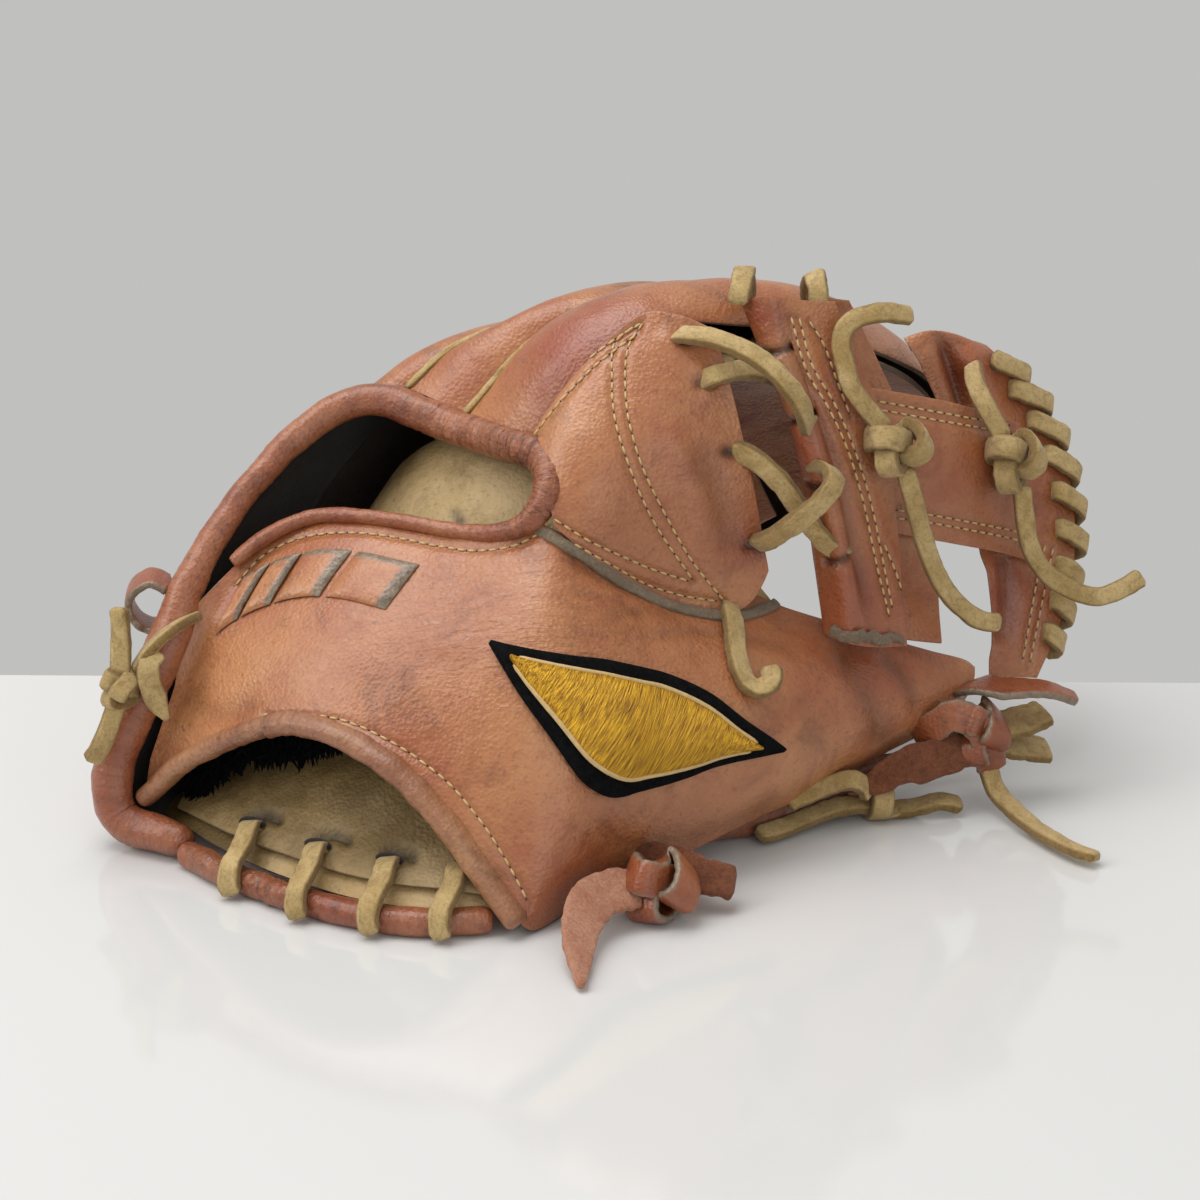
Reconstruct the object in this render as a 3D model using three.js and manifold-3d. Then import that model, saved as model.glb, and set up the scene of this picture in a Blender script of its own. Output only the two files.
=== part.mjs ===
// A baseball infield glove for the left hand, laid palm down on a flat surface.
// Millimetres, +Z up, +Y from the heel to the fingertips, +X towards the thumb.
// Every leather piece is a thin wall worked out from a short table of sections.

import * as THREE from 'three';
import { mergeVertices } from 'three/addons/utils/BufferGeometryUtils.js';
import Module from 'manifold-3d';

const wasm = await Module();
wasm.setup();

// The tables are written from the heel's thumb corner. This moves the glove over its own middle.
const MIDDLE = { x: -45, y: 92.46 };

// Thicknesses of the leathers, and the clearances between pieces.
const LEATHER = 2.2;
const PALM_THICK = 4.2;
const LINING_THICK = 1.4;
const FLEECE_THICK = 4.5;
const CLEAR = 0.4;
const LINING_GAP = 1;
const FINGER_SLOT = 0.006;
const SEAM_SHARE = 0.08;
const LINING_ROWS = { first: 0.15, last: 3.5 };
const LINING_LINES = { first: 1, last: 7.5 };
const ROLL_STEPS = 1;

const RAWHIDE = { width: 6, thick: 3.2 };
const EDGE_LACE = { width: 6.4, thick: 2.6 };
const TAIL_RADIUS = 2.6;
const LEATHER_TIE = { width: 12, thick: 2.6 };
const WELT = { width: 1.6, thick: 3 };

const FINISHES = {
  tan_leather: { color: 0xb5714c, roughness: 0.48 },
  red_binding: { color: 0x9a4f3c, roughness: 0.5 },
  mauve_binding: { color: 0x85584a, roughness: 0.6 },
  rawhide: { color: 0xab9762, roughness: 0.85 },
  cream_lining: { color: 0xb9a06c, roughness: 0.75 },
  navy_fleece: { color: 0x1a1e2a, roughness: 1 },
  gold_thread: { color: 0xd9a52a, roughness: 0.35 },
  black_felt: { color: 0x17181a, roughness: 0.95 },
};

// The palm is one skin, seen from the pocket. A row for each section from the heel to the
// fingertips, and a column for each line that runs along it.
const PALM_LINES = [
  'thumbLow', 'thumbHigh', 'webLow', 'webHigh', 'first', 'valley1', 'valley2', 'valley3', 'little',
];
const PALM = [
  {
    thumbLow: [-28, -2, 1], thumbHigh: [-33, -6, 2], webLow: [-41, -11, 3],
    webHigh: [-52, -15, 3], first: [-66, -17, 3], valley1: [-85, -16, 3],
    valley2: [-106, -12, 3], valley3: [-128, -5, 3], little: [-143, 0, 2],
  },
  {
    thumbLow: [-25, 21, 1], thumbHigh: [-32, 19, 13], webLow: [-42, 16, 18],
    webHigh: [-54, 14, 21], first: [-69, 13, 22], valley1: [-87, 13, 22],
    valley2: [-108, 14, 20], valley3: [-130, 17, 14], little: [-150, 20, 3],
  },
  {
    thumbLow: [-17, 47, 2], thumbHigh: [-26, 49, 25], webLow: [-37, 47, 39],
    webHigh: [-49, 46, 48], first: [-67, 46, 53], valley1: [-87, 47, 54],
    valley2: [-109, 49, 50], valley3: [-131, 50, 39], little: [-149, 52, 11],
  },
  {
    thumbLow: [-4, 74, 5], thumbHigh: [-14, 80, 35], webLow: [-26, 80, 57],
    webHigh: [-41, 79, 76], first: [-58, 78, 87], valley1: [-80, 78, 90],
    valley2: [-104, 79, 84], valley3: [-126, 79, 65], little: [-144, 80, 23],
  },
  {
    thumbLow: [6, 100, 8], thumbHigh: [-3, 110, 50], webLow: [-13, 105, 72],
    webHigh: [-23, 104, 96], first: [-35, 107, 117], valley1: [-64, 106, 116],
    valley2: [-92, 106, 107], valley3: [-117, 105, 86], little: [-137, 104, 29],
  },
  {
    thumbLow: [17, 124, 11], thumbHigh: [11, 130, 43], webLow: [9, 121, 80],
    webHigh: [0, 122, 108], first: [-18, 128, 127], valley1: [-54, 132, 121],
    valley2: [-82, 132, 111], valley3: [-106, 130, 87], little: [-129, 127, 29],
  },
  {
    thumbLow: [26, 142, 17], thumbHigh: [25, 149, 35], webLow: [30, 148, 70],
    webHigh: [22, 152, 103], first: [-1, 156, 120], valley1: [-39, 159, 113],
    valley2: [-69, 160, 99], valley3: [-96, 152, 76], little: [-120, 150, 24],
  },
  {
    thumbLow: [31, 151, 21], thumbHigh: [33, 157, 30], webLow: [46, 176, 55],
    webHigh: [36, 188, 88], first: [6, 185, 103], valley1: [-24, 187, 91],
    valley2: [-55, 186, 77], valley3: [-87, 178, 53], little: [-112, 173, 12],
  },
  {
    thumbLow: [34, 154, 24], thumbHigh: [36, 158, 28], webLow: [54, 186, 50],
    webHigh: [42, 202, 82], first: [9, 197, 88], valley1: [-16, 205, 62],
    valley2: [-49, 202, 52], valley3: [-84, 195, 25], little: [-104, 188, 3],
  },
];

// The backs of the four fingers share the lines where they are sewn to each other.
const FINGER_ROWS = [
  { little: [-152, 59, 24], welt3: [-131, 70, 108], welt2: [-111.5, 81, 116.5], welt1: [-91, 79.5, 111.5],
      first: [-60, 71, 110] },
  { little: [-149, 82, 28], welt3: [-125, 88, 113], welt2: [-103, 94, 127], welt1: [-80, 98, 130],
      first: [-51, 78, 128] },
  { little: [-142, 106, 32], welt3: [-117, 107, 115], welt2: [-90, 111, 132], welt1: [-66, 114, 141],
      first: [-41, 96, 141] },
  { little: [-134, 128, 33], welt3: [-107, 129, 111], welt2: [-78, 133, 130], welt1: [-54, 134, 140],
      first: [-23, 121, 138] },
  { little: [-125, 150, 28], welt3: [-98, 151, 98], welt2: [-66, 158, 118], welt1: [-40, 158, 131],
      first: [-5, 146, 131] },
  { little: [-116, 172, 17], welt3: [-90, 174, 76], welt2: [-55, 182, 97], welt1: [-27, 184, 112],
      first: [5, 174, 118] },
  { little: [-109, 187, 7], welt3: [-86, 192, 50], welt2: [-49, 202, 72], welt1: [-18, 206, 86],
      first: [11, 195, 104] },
  { little: [-105, 198, 1], welt3: [-84, 204, 29], welt2: [-47, 212, 57], welt1: [-14, 216, 67],
      first: [13, 208, 91] },
  { little: [-104, 193, 1.5], welt3: [-83, 200, 23], welt2: [-47, 207, 50], welt1: [-15, 211, 60],
      first: [10, 202, 86] },
];
const FINGERS = {
  first_finger_back: { low: 'first', high: 'welt1', bulge: [3, 7, 6, 9, 12, 12, 9, 3, 1] },
  middle_finger_back: { low: 'welt1', high: 'welt2', bulge: [2, 3, 5, 8, 10, 10, 8, 3, 1] },
  ring_finger_back: { low: 'welt2', high: 'welt3', bulge: [2, 4, 6, 9, 10, 11, 9, 3, 1] },
  little_finger_back: { low: 'welt3', high: 'little', bulge: [12, 14, 15, 14, 14, 12, 8, 3, 1] },
};

// Other arched pieces: a row for each section, its low edge, its high edge and its bulge.
const THUMB_BACK = [
  { low: [-142, -5, 14], high: [-140, 10, 64], bulge: 2 },
  { low: [-126, -5, 33], high: [-131, 32, 79], bulge: 3 },
  { low: [-94, -5, 48], high: [-112, 42, 87], bulge: 3 },
  { low: [-67, -5, 45], high: [-80, 45, 88], bulge: 3 },
  { low: [-46, -5, 32], high: [-56, 46, 89], bulge: 5 },
  { low: [-29, -5, 14], high: [-43, 51, 91], bulge: 9 },
  { low: [-19, -4, 1.6], high: [-37, 65, 89], bulge: 13 },
  { low: [-16, 17, 1.4], high: [-28.5, 78.5, 80], bulge: 16 },
  { low: [-8, 38, 3], high: [-16.5, 94, 71.5], bulge: 17 },
  { low: [3, 60, 7], high: [-1, 105, 62], bulge: 15 },
  { low: [12, 84, 10], high: [14, 119, 54], bulge: 13 },
  { low: [22, 112, 14], high: [29, 137, 44], bulge: 10 },
  { low: [34, 134, 20], high: [37, 150, 38], bulge: 6 },
  { low: [39, 144, 25], high: [40, 153, 35], bulge: 3 },
];
const INDEX_PANEL = [
  { low: [-44.4, 50.6, 93.6], high: [-60, 67.5, 114], bulge: 3 },
  { low: [-33.5, 58, 83.7], high: [-53, 74.5, 128], bulge: 7 },
  { low: [-24.7, 70.6, 72.6], high: [-41.5, 92.5, 143.5], bulge: 9 },
  { low: [-12.7, 83.9, 64.9], high: [-32, 98, 144.5], bulge: 8 },
  { low: [-0.5, 98.4, 64.9], high: [-21, 101, 141.5], bulge: 4 },
];
const LITTLE_SIDE = [
  { low: [-152, 58, 23], high: [-132, 66, 106], bulge: 13 },
  { low: [-153, 54, 21], high: [-135, 54, 102], bulge: 13 },
  { low: [-156, 38, 12], high: [-139, 33, 88], bulge: 9 },
  { low: [-157, 21, 7], high: [-142, 15, 71], bulge: 6 },
  { low: [-155, 5, 4], high: [-147, -1, 48], bulge: 3 },
  { low: [-150, -8, 3], high: [-153, -9, 11], bulge: 1 },
];

// The web: two posts and a bar that joins them, with a leaf behind the first post.
const INNER_POST_LINES = ['back', 'edge', 'crest', 'flat', 'right'];
const INNER_POST = [
  { back: [-16, 118, 147], edge: [-18, 110, 148], crest: [-9, 108, 151], flat: [-2, 116, 149],
      right: [5, 123, 148] },
  { back: [-9, 117, 134], edge: [-11, 109, 136], crest: [-1, 108, 138], flat: [5, 116, 135],
      right: [11, 125, 133] },
  { back: [0, 117, 114], edge: [-1, 109, 116], crest: [8, 107, 118], flat: [14, 116, 115],
      right: [20, 127, 112] },
  { back: [6, 116, 89], edge: [5, 108, 91], crest: [15, 107, 93], flat: [20, 116, 89],
      right: [25, 126, 85] },
  { back: [13, 114, 54], edge: [12, 107, 55], crest: [21, 106, 54], flat: [26, 115, 51],
      right: [30, 125, 49] },
];
const INNER_LEAF_LINES = ['left', 'middle', 'right'];
const INNER_LEAF = [
  { left: [-4, 130, 147], middle: [0, 133, 146], right: [3, 137, 145] },
  { left: [2, 133, 129], middle: [6, 138, 128], right: [9, 144, 127] },
  { left: [8, 135, 105], middle: [14, 142, 104], right: [19, 150, 102] },
  { left: [15, 132, 80], middle: [22, 140, 79], right: [27, 148, 77] },
  { left: [23, 126, 50], middle: [29, 132, 48], right: [35, 139, 46] },
];
const CROSSBAR = [
  { low: [17, 129, 81], high: [7, 128, 123], bulge: 0.5 },
  { low: [25, 139, 77], high: [17, 141, 119], bulge: 2 },
  { low: [33, 150, 73], high: [28, 155, 114], bulge: 2.5 },
  { low: [42.7, 165.6, 67], high: [35.7, 168.6, 108], bulge: 1.5 },
  { low: [49.7, 174.7, 62], high: [40.7, 176.7, 104], bulge: 0.5 },
];
const OUTER_POST_LINES = ['left', 'middle', 'right'];
const OUTER_POST = [
  { left: [7, 172, 123], middle: [14, 182, 123], right: [22, 194, 119] },
  { left: [8, 165, 128], middle: [16, 175, 129], right: [25, 189, 122] },
  { left: [15, 168, 112], middle: [27, 183, 110], right: [38, 197, 106] },
  { left: [25, 168, 91], middle: [39, 184, 90], right: [49, 197, 85] },
  { left: [35, 164, 69], middle: [47, 179, 67], right: [55, 191, 64] },
  { left: [41, 160, 49], middle: [50, 171, 47], right: [56, 180, 44] },
  { left: [43, 157, 31], middle: [49, 163, 30], right: [54, 168, 29] },
];

// Rolled edges: the route of each, the width and height of its section, and how much these grow at
// each point of the route.
const BACK_ROLL = {
  size: [10, 10],
  route: [
    [-134.5, 24.5, 76], [-127.2, 33.8, 83.2], [-114.8, 41.5, 88.6], [-93, 44.6, 89.8],
    [-80.5, 45.2, 89.7], [-70, 46, 89.8], [-61, 46.9, 90.8], [-54, 48.4, 93],
    [-49.2, 51, 97.5], [-48.1, 55.4, 103.7], [-52.7, 60.8, 108.2], [-60.1, 65.2, 109.9],
    [-69.9, 69.3, 108.9], [-80.8, 73.4, 108.6], [-92, 75.6, 109.2], [-103.5, 75.4, 111.8],
    [-114.4, 74.2, 114.1], [-123.6, 70.1, 113.2], [-130.6, 63.8, 108.9], [-135.9, 54.9, 102.6],
    [-139.2, 44.4, 95.3], [-141.7, 34.8, 87.6], [-143.4, 25.2, 78.7], [-144, 15.5, 69.4],
    [-145, 7.7, 59.2], [-147, 0.3, 48.6], [-149.5, -5.3, 37.9], [-151.6, -9.4, 26.7],
    [-152, -12.6, 16.7], [-149.6, -13.5, 9.6], [-144.5, -13, 6.5], [-138, -12.3, 6.1],
    [-132, -12, 5.6],
  ],
  grow: [
    0.42, 0.42, 0.42, 0.42, 0.42, 0.45, 0.5, 0.62, 0.75, 0.8, 0.85,
    0.9, 0.95, 1, 1, 1, 0.95, 0.9, 0.9, 0.85, 0.8, 0.8,
    0.85, 0.9, 0.95, 1, 1.05, 1.1, 1.15, 1.15, 1.1, 1.05, 1,
  ],
};
const WRIST_ROLL = {
  size: [8, 6],
  route: [
    [-142, -6, 13], [-126, -6, 30], [-94, -6, 46], [-67, -6, 43], [-46, -6, 30], [-29, -6, 12],
    [-21, -6, 3.6],
  ],
};
const HEEL_ROLL = {
  size: [7.6, 7.2],
  route: [
    [-126, -14, 3.6], [-105, -20, 3.6], [-77, -23, 3.6], [-50, -20, 3.6], [-36, -12, 3.6], [-29, -7, 3.6],
  ],
};

// Laces that run from hole to hole, and how the broad side of each faces where it starts.
const LACES = {
  crotch_lace_1: { flat: [0.3, -0.8, 0.5], route: [[-32, 100, 138], [-27, 93, 141], [-16, 93, 141],
      [-5, 95, 137], [3, 96, 131], [7, 99, 124], [6, 105, 117], [4, 113, 115]] },
  crotch_lace_2: { flat: [0.3, -0.9, 0.3], route: [[-27, 103, 124], [-23, 95, 127], [-16, 93, 131],
      [-12, 101, 131], [-9, 113, 127], [-8, 122, 124]] },
  crotch_lace_3: { flat: [0.3, -0.8, 0.4], route: [[-18, 102, 108], [-14, 95, 108], [-8, 95, 107],
      [-2, 96, 103], [5, 98, 97], [11, 102, 89], [14, 105, 84], [15, 113, 79]] },
  crotch_lace_4: { flat: [0.3, -0.9, -0.1], route: [[-11, 102, 79], [-5, 94, 81], [3, 91, 86],
      [11, 90, 92], [17, 94, 98], [19, 100, 103], [12, 110, 103]] },
  thumb_stay_lace: { flat: [0.6, -0.15, 0.8], route: [[-9, 88.5, 66.2], [-6.4, 84.4, 65.4],
      [-3.2, 80.4, 62.5], [-0.7, 76.5, 59.3], [2.2, 73.3, 55.5], [5.2, 71.6, 51.5], [9, 72.6, 49.5],
      [11.2, 75.7, 51.3], [9.8, 77.6, 54.8]] },
  web_top_lace_1: { flat: [0.3, -0.9, 0.2], route: [[-17, 106, 148], [-17, 108, 153], [-20, 116, 155],
      [-24, 124, 151], [-26, 129, 144]] },
  web_top_lace_2: { flat: [0.3, -0.9, 0.2], route: [[-2, 128, 144], [-4, 130, 150], [-8, 136, 151],
      [-12, 142, 146], [-14, 147, 139]] },
  thumb_rawhide: { flat: [0.2, -0.3, 0.9], route: [[8, 76, 3.6], [11, 83, 3.2], [15, 92, 4],
      [20, 101, 5], [26, 108, 4.5], [32, 113, 2.6], [38, 117, 3], [44, 121, 4.6], [49, 125, 3]] },
};

// Leather ties are wider than the laces and have cut ends.
const TIES = {
  near_tie_tail: { flat: [0.3, -0.5, 0.8], route: [[1, 18, 9.5], [-2.5, 13, 10], [-5, 7, 10],
      [-4, -2, 8], [0, -11, 5], [5, -19, 2.8], [9, -25, 2]], tip: 0.25 },
  near_tie_stub: { flat: [0.3, -0.5, 0.8], route: [[-10.5, 31.5, 8.4], [-5, 33, 9.5], [3, 34, 10],
      [11, 34, 9], [16, 35, 9], [20, 38, 7]], tip: 0.8 },
  thumb_tip_tail: { flat: [0.2, -0.3, 0.95], route: [[40, 144, 31], [47, 140, 35], [54, 141, 35],
      [60, 145, 35], [66, 149, 34], [72, 153, 31]], tip: 0.5 },
  thumb_tip_strap: { flat: [0.4, -0.7, 0.5], route: [[48, 131, 20], [45, 125, 19], [40, 118, 17.5],
      [35, 112, 16.5], [30, 107, 13], [23.2, 102, 10.2]], tip: 0.8 },
  thumb_tip_stub_1: { flat: [0.2, -0.3, 0.95], route: [[52, 137, 23.5], [59, 147, 24], [63, 153, 25]],
      tip: 0.8 },
  thumb_tip_stub_2: { flat: [0.2, -0.3, 0.95], route: [[52, 138.6, 18.8], [60, 147, 15.5],
      [65, 152, 13.5]], tip: 0.8 },
  little_tie_loop: { flat: [0.4, 0.2, 0.8], route: [[-151.6, 15.4, 73], [-155, 13, 75.5],
      [-159, 10.6, 73], [-159, 10.6, 67], [-155, 13, 64.5], [-151.5, 15.2, 66.5]], tip: 1 },
};

// Knots: the middle of each, half its size along each axis, and a turn about the upright.
const KNOTS = {
  web_knot_1: { at: [26.2, 121.4, 108.9], half: [10, 5.5, 8.5], turn: 0.6 },
  web_knot_2: { at: [45, 163, 97], half: [9, 5.5, 10], turn: 0.6 },
  near_tie_knot: { at: [5, 23, 9], half: [9, 6.5, 8.5], turn: 0.4 },
  thumb_tip_knot: { at: [50, 134, 23], half: [6.5, 6, 9], turn: 0.5 },
  strap_tie_knot: { at: [-146.6, -12.8, 48.4], half: [5, 4.5, 6.5], turn: 0 },
};

// Loose rawhide ends. Each is its own tube, and it keeps the length that it shows.
const TAILS = {
  web_tail_up_1: [[23, 120, 114], [15, 116, 125], [12, 116, 132], [10, 117, 139], [12, 119, 144],
      [18, 125, 146], [24, 133, 144]],
  web_tail_down_1: [[29, 121, 103], [32, 123, 91], [34, 126, 80], [37, 129, 70], [41, 133, 62],
      [46, 138, 56], [51, 143, 54]],
  web_tail_up_2: [[42, 161, 104], [36, 161, 113], [31, 165, 118], [28, 170, 122]],
  web_tail_down_2: [[48, 162, 90], [52, 160, 74], [56, 163, 65], [62, 168, 59], [69, 173, 56],
      [75, 178, 58], [79, 183, 61]],
  floor_tail: [[53, 132.5, 16], [57, 131, 7.5], [64, 127, 4.5], [73, 121, 3.2], [83, 115, 3],
      [90, 112, 3], [96, 111, 3]],
  strap_tie_end_1: [[-146.5, -12.5, 52], [-147.5, -10, 63.5], [-148.5, -9, 70.5]],
  strap_tie_end_2: [[-146.8, -14, 44.5], [-149.5, -18, 33.5], [-152.5, -20, 27.5]],
};
const STRAP_TIE = [[-138.4, 12.6, 63], [-139, 4, 62.5], [-141.5, -4.8, 58.5], [-144.3, -9, 52.6]];

// The lace round the web's outer edge: its turns, as shares of the way down and across the post.
const EDGE_TURNS = { count: 9, first: 0.24, last: 0.95, hole: 0.76 };
// One turn, stop by stop: its share of the turn, whether it lies at the hole or past the edge and
// by how much, on which side of the leather it is, and how the lace faces there (outward, up).
const EDGE_STOPS = [
  { share: 0, atHole: true, past: 0, side: 0, faces: [-1, 0] },
  { share: 0, atHole: true, past: 0, side: 1, faces: [0, 1] },
  { share: 0.3, atHole: false, past: 1.2, side: 1, faces: [0.5, 1] },
  { share: 0.45, atHole: false, past: 3.4, side: 0, faces: [1, 0] },
  { share: 0.6, atHole: false, past: 1.2, side: -1, faces: [0.5, -1] },
  { share: 1, atHole: true, past: 0, side: -1, faces: [0, -1] },
];
const HEEL_LACES = [-103, -79, -57, -39];
// Each heel lace goes from a hole inside the heel over the piping, measured from the piping's line.
const HEEL_LACE_STOPS = [
  { beside: -3, inwards: 14, height: 12 },
  { beside: -2, inwards: 9, height: 15 },
  { beside: 0, inwards: 3, height: 12.5 },
  { beside: 1, inwards: -4, height: 9 },
  { beside: 2, inwards: -6.5, height: 4.5 },
  { beside: 3, inwards: -5.5, height: 2 },
];

// A plain lozenge badge on the thumb, and four plain raised pads on the strap.
const BADGE = {
  u: 0.48, v: 0.518, long: 43, wide: 16.5, turn: 0.3, blunt: 1.06, curve: 1.7,
  thick: 1.8, border: 3.5, felt: 1.4, rise: 0.8,
};
const PADS = { count: 4, first: 0.068, pitch: 0.041, wide: 0.03, low: 0.58, high: 0.82, thick: 1.2 };

const vector = (p) => new THREE.Vector3(...p);
const span = (from, to, count) => (
  Array.from({ length: count + 1 }, (_, i) => from + ((to - from) * i) / count)
);

// A point of the even Catmull-Rom curve through the given points.
function along(points, t) {
  const last = points.length - 1;
  const at = Math.min(Math.max(t, 0), 1) * last;
  const i = Math.min(Math.floor(at), last - 1);
  const f = at - i;
  const before = i > 0 ? points[i - 1] : points[0].map((c, k) => 2 * c - points[1][k]);
  const after = i < last - 1 ? points[i + 2] : points[last].map((c, k) => 2 * c - points[last - 1][k]);
  return points[i].map((c, k) => {
    const d = points[i + 1][k];
    const m0 = (d - before[k]) / 2;
    const m1 = (after[k] - c) / 2;
    return ((2 * c - 2 * d + m0 + m1) * f + (3 * d - 3 * c - 2 * m0 - m1)) * f * f + m0 * f + c;
  });
}

// A skin through named lines: u runs across the lines and v along the rows.
function skinThrough(rows, lines) {
  return (u, v) => vector(along(lines.map((name) => along(rows.map((row) => row[name]), v)), u));
}

// A skin that bulges between its low and its high edge, away from the hand.
function arch(rows) {
  const low = rows.map((row) => row.low);
  const high = rows.map((row) => row.high);
  const bulge = rows.map((row) => [row.bulge]);
  const step = 0.01;
  const middle = (v) => vector(along(low, v)).add(vector(along(high, v))).multiplyScalar(0.5);
  return (u, v) => {
    const a = vector(along(low, v));
    const b = vector(along(high, v));
    const run = middle(Math.min(v + step, 1)).sub(middle(Math.max(v - step, 0)));
    const out = run.cross(b.clone().sub(a)).normalize();
    const lift = along(bulge, v)[0] * Math.sin(Math.PI * u);
    return a.lerp(b, u).addScaledVector(out, lift);
  };
}

// The outward direction of a skin at one place.
function normalAt(skin, u, v) {
  const e = 0.012;
  const du = skin(Math.min(u + e, 1), v).sub(skin(Math.max(u - e, 0), v));
  const dv = skin(u, Math.min(v + e, 1)).sub(skin(u, Math.max(v - e, 0)));
  return dv.cross(du).normalize();
}

function closedMesh(positions, indices) {
  let volume = 0;
  const p = (i) => new THREE.Vector3().fromArray(positions, 3 * i);
  for (let i = 0; i < indices.length; i += 3) {
    volume += p(indices[i]).dot(p(indices[i + 1]).cross(p(indices[i + 2])));
  }
  if (volume < 0) indices.reverse();
  const geometry = new THREE.BufferGeometry();
  geometry.setAttribute('position', new THREE.Float32BufferAttribute(positions, 3));
  geometry.setIndex(indices);
  return geometry;
}

// A wall of even thickness on a skin, through the stations us across it and vs along it.
// Its outer face lies `raise` off the skin, and `keep` says which cells it has.
function wall(skin, { us, vs, thick, raise = 0, keep = () => true }) {
  const positions = [];
  const indices = [];
  const corner = new Map();
  const place = (i, j, inner) => {
    const key = `${i},${j},${inner}`;
    if (!corner.has(key)) {
      const [u, v] = [us[i], vs[j]];
      const at = skin(u, v).addScaledVector(normalAt(skin, u, v), raise - (inner ? thick : 0));
      corner.set(key, positions.length / 3);
      positions.push(at.x, at.y, at.z);
    }
    return corner.get(key);
  };
  const kept = (i, j) => {
    if (i < 0 || j < 0 || i > us.length - 2 || j > vs.length - 2) return false;
    return keep((us[i] + us[i + 1]) / 2, (vs[j] + vs[j + 1]) / 2);
  };
  const quad = (a, b, c, d) => indices.push(a, b, c, a, c, d);
  for (let i = 0; i < us.length - 1; i += 1) {
    for (let j = 0; j < vs.length - 1; j += 1) {
      if (!kept(i, j)) continue;
      const ring = [[i, j], [i + 1, j], [i + 1, j + 1], [i, j + 1]];
      quad(...ring.map(([a, b]) => place(a, b, false)));
      quad(...ring.map(([a, b]) => place(a, b, true)).reverse());
      const beside = [[i, j - 1], [i + 1, j], [i, j + 1], [i - 1, j]];
      beside.forEach(([a, b], k) => {
        if (kept(a, b)) return;
        const [p, q] = [ring[k], ring[(k + 1) % 4]];
        quad(place(...q, false), place(...p, false), place(...p, true), place(...q, true));
      });
    }
  }
  return closedMesh(positions, indices);
}

// A band swept along a route. `flat` is the way that its broad face looks at the start, or
// `faces` has one for each point of the route. `grow` has its shares of the size along the route,
// and `reach` makes it longer at both ends.
const BLOCK = [[-1, -1], [1, -1], [1, 1], [-1, 1]];
const SOFT = [[-1, -0.5], [-0.7, -1], [0.7, -1], [1, -0.5], [1, 0.5], [0.7, 1], [-0.7, 1], [-1, 0.5]];
function band(route, size) {
  const { width, thick, flat = [0, 0, 1], steps, section = BLOCK, tip = 1, grow = [1, 1], faces } = size;
  const { reach = 0 } = size;
  const positions = [];
  const indices = [];
  const sides = section.length;
  const count = steps ?? 2 * (route.length - 1);
  const e = 0.004;
  let face = vector(flat);
  for (let s = 0; s <= count; s += 1) {
    const t = s / count;
    const at = vector(along(route, t));
    const ahead = vector(along(route, t + e)).sub(vector(along(route, t - e))).normalize();
    if (s === 0) at.addScaledVector(ahead, -reach);
    if (s === count) at.addScaledVector(ahead, reach);
    if (faces) face = vector(along(faces, t));
    face = face.addScaledVector(ahead, -face.dot(ahead)).normalize();
    const side = new THREE.Vector3().crossVectors(ahead, face);
    const narrow = 1 - (1 - tip) * t ** 3;
    const [swell] = along(grow.map((share) => [share]), t);
    for (const [w, h] of section) {
      const p = at.clone();
      p.addScaledVector(side, (w * width * narrow * swell) / 2);
      p.addScaledVector(face, (h * thick * swell) / 2);
      positions.push(p.x, p.y, p.z);
    }
  }
  for (let s = 0; s < count; s += 1) {
    const [a, b] = [s * sides, (s + 1) * sides];
    for (let k = 0; k < sides; k += 1) {
      const n = (k + 1) % sides;
      indices.push(a + k, a + n, b + n, a + k, b + n, b + k);
    }
  }
  const far = count * sides;
  for (let k = 1; k < sides - 1; k += 1) {
    indices.push(0, k + 1, k, far, far + k, far + k + 1);
  }
  return closedMesh(positions, indices);
}

// A round tube along a route, for the loose ends.
function tube(route, radius, sides = 8) {
  const outline = new THREE.Shape(span(0, 2 * Math.PI, sides).slice(0, sides)
    .map((angle) => new THREE.Vector2(Math.cos(angle), Math.sin(angle)).multiplyScalar(radius)));
  const path = new THREE.CatmullRomCurve3(route.map(vector), false, 'catmullrom', 0.5);
  const steps = Math.ceil(path.getLength() / (2.5 * 2 * radius)) + 1;
  return new THREE.ExtrudeGeometry(outline, { steps, bevelEnabled: false, extrudePath: path });
}

// A knot stands for its turns as one rounded lump, flattened on the leather below it.
function knot({ at, half, turn }) {
  const lump = new THREE.SphereGeometry(1, 9, 6);
  lump.scale(...half);
  lump.rotateZ(turn);
  lump.translate(...at);
  return lump;
}

// A shape becomes a solid that can be cut, and a solid becomes a shape again.
function solid(geometry) {
  const bare = geometry.clone();
  bare.deleteAttribute('normal');
  bare.deleteAttribute('uv');
  const { attributes, index } = mergeVertices(bare, 1e-4);
  const vertProperties = attributes.position.array;
  const triVerts = new Uint32Array(index.array);
  return new wasm.Manifold(new wasm.Mesh({ numProp: 3, vertProperties, triVerts }));
}
function shape(manifold) {
  const { vertProperties, triVerts } = manifold.getMesh();
  const geometry = new THREE.BufferGeometry();
  geometry.setAttribute('position', new THREE.Float32BufferAttribute(vertProperties, 3));
  geometry.setIndex(Array.from(triVerts));
  return geometry;
}
// What is cut keeps its main body, without the crumbs that a cut leaves.
function cut(geometry, cutters) {
  const bodies = cutters.reduce((left, cutter) => left.subtract(cutter), solid(geometry)).decompose();
  return shape(bodies.reduce((main, body) => (body.volume() > main.volume() ? body : main)));
}

const glove = new THREE.Group();
glove.position.set(-MIDDLE.x, -MIDDLE.y, 0);

function add(name, geometry, finish) {
  const material = new THREE.MeshStandardMaterial({ metalness: 0, ...FINISHES[finish] });
  const mesh = new THREE.Mesh(geometry, material);
  geometry.computeVertexNormals();
  mesh.name = name;
  glove.add(mesh);
}

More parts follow.
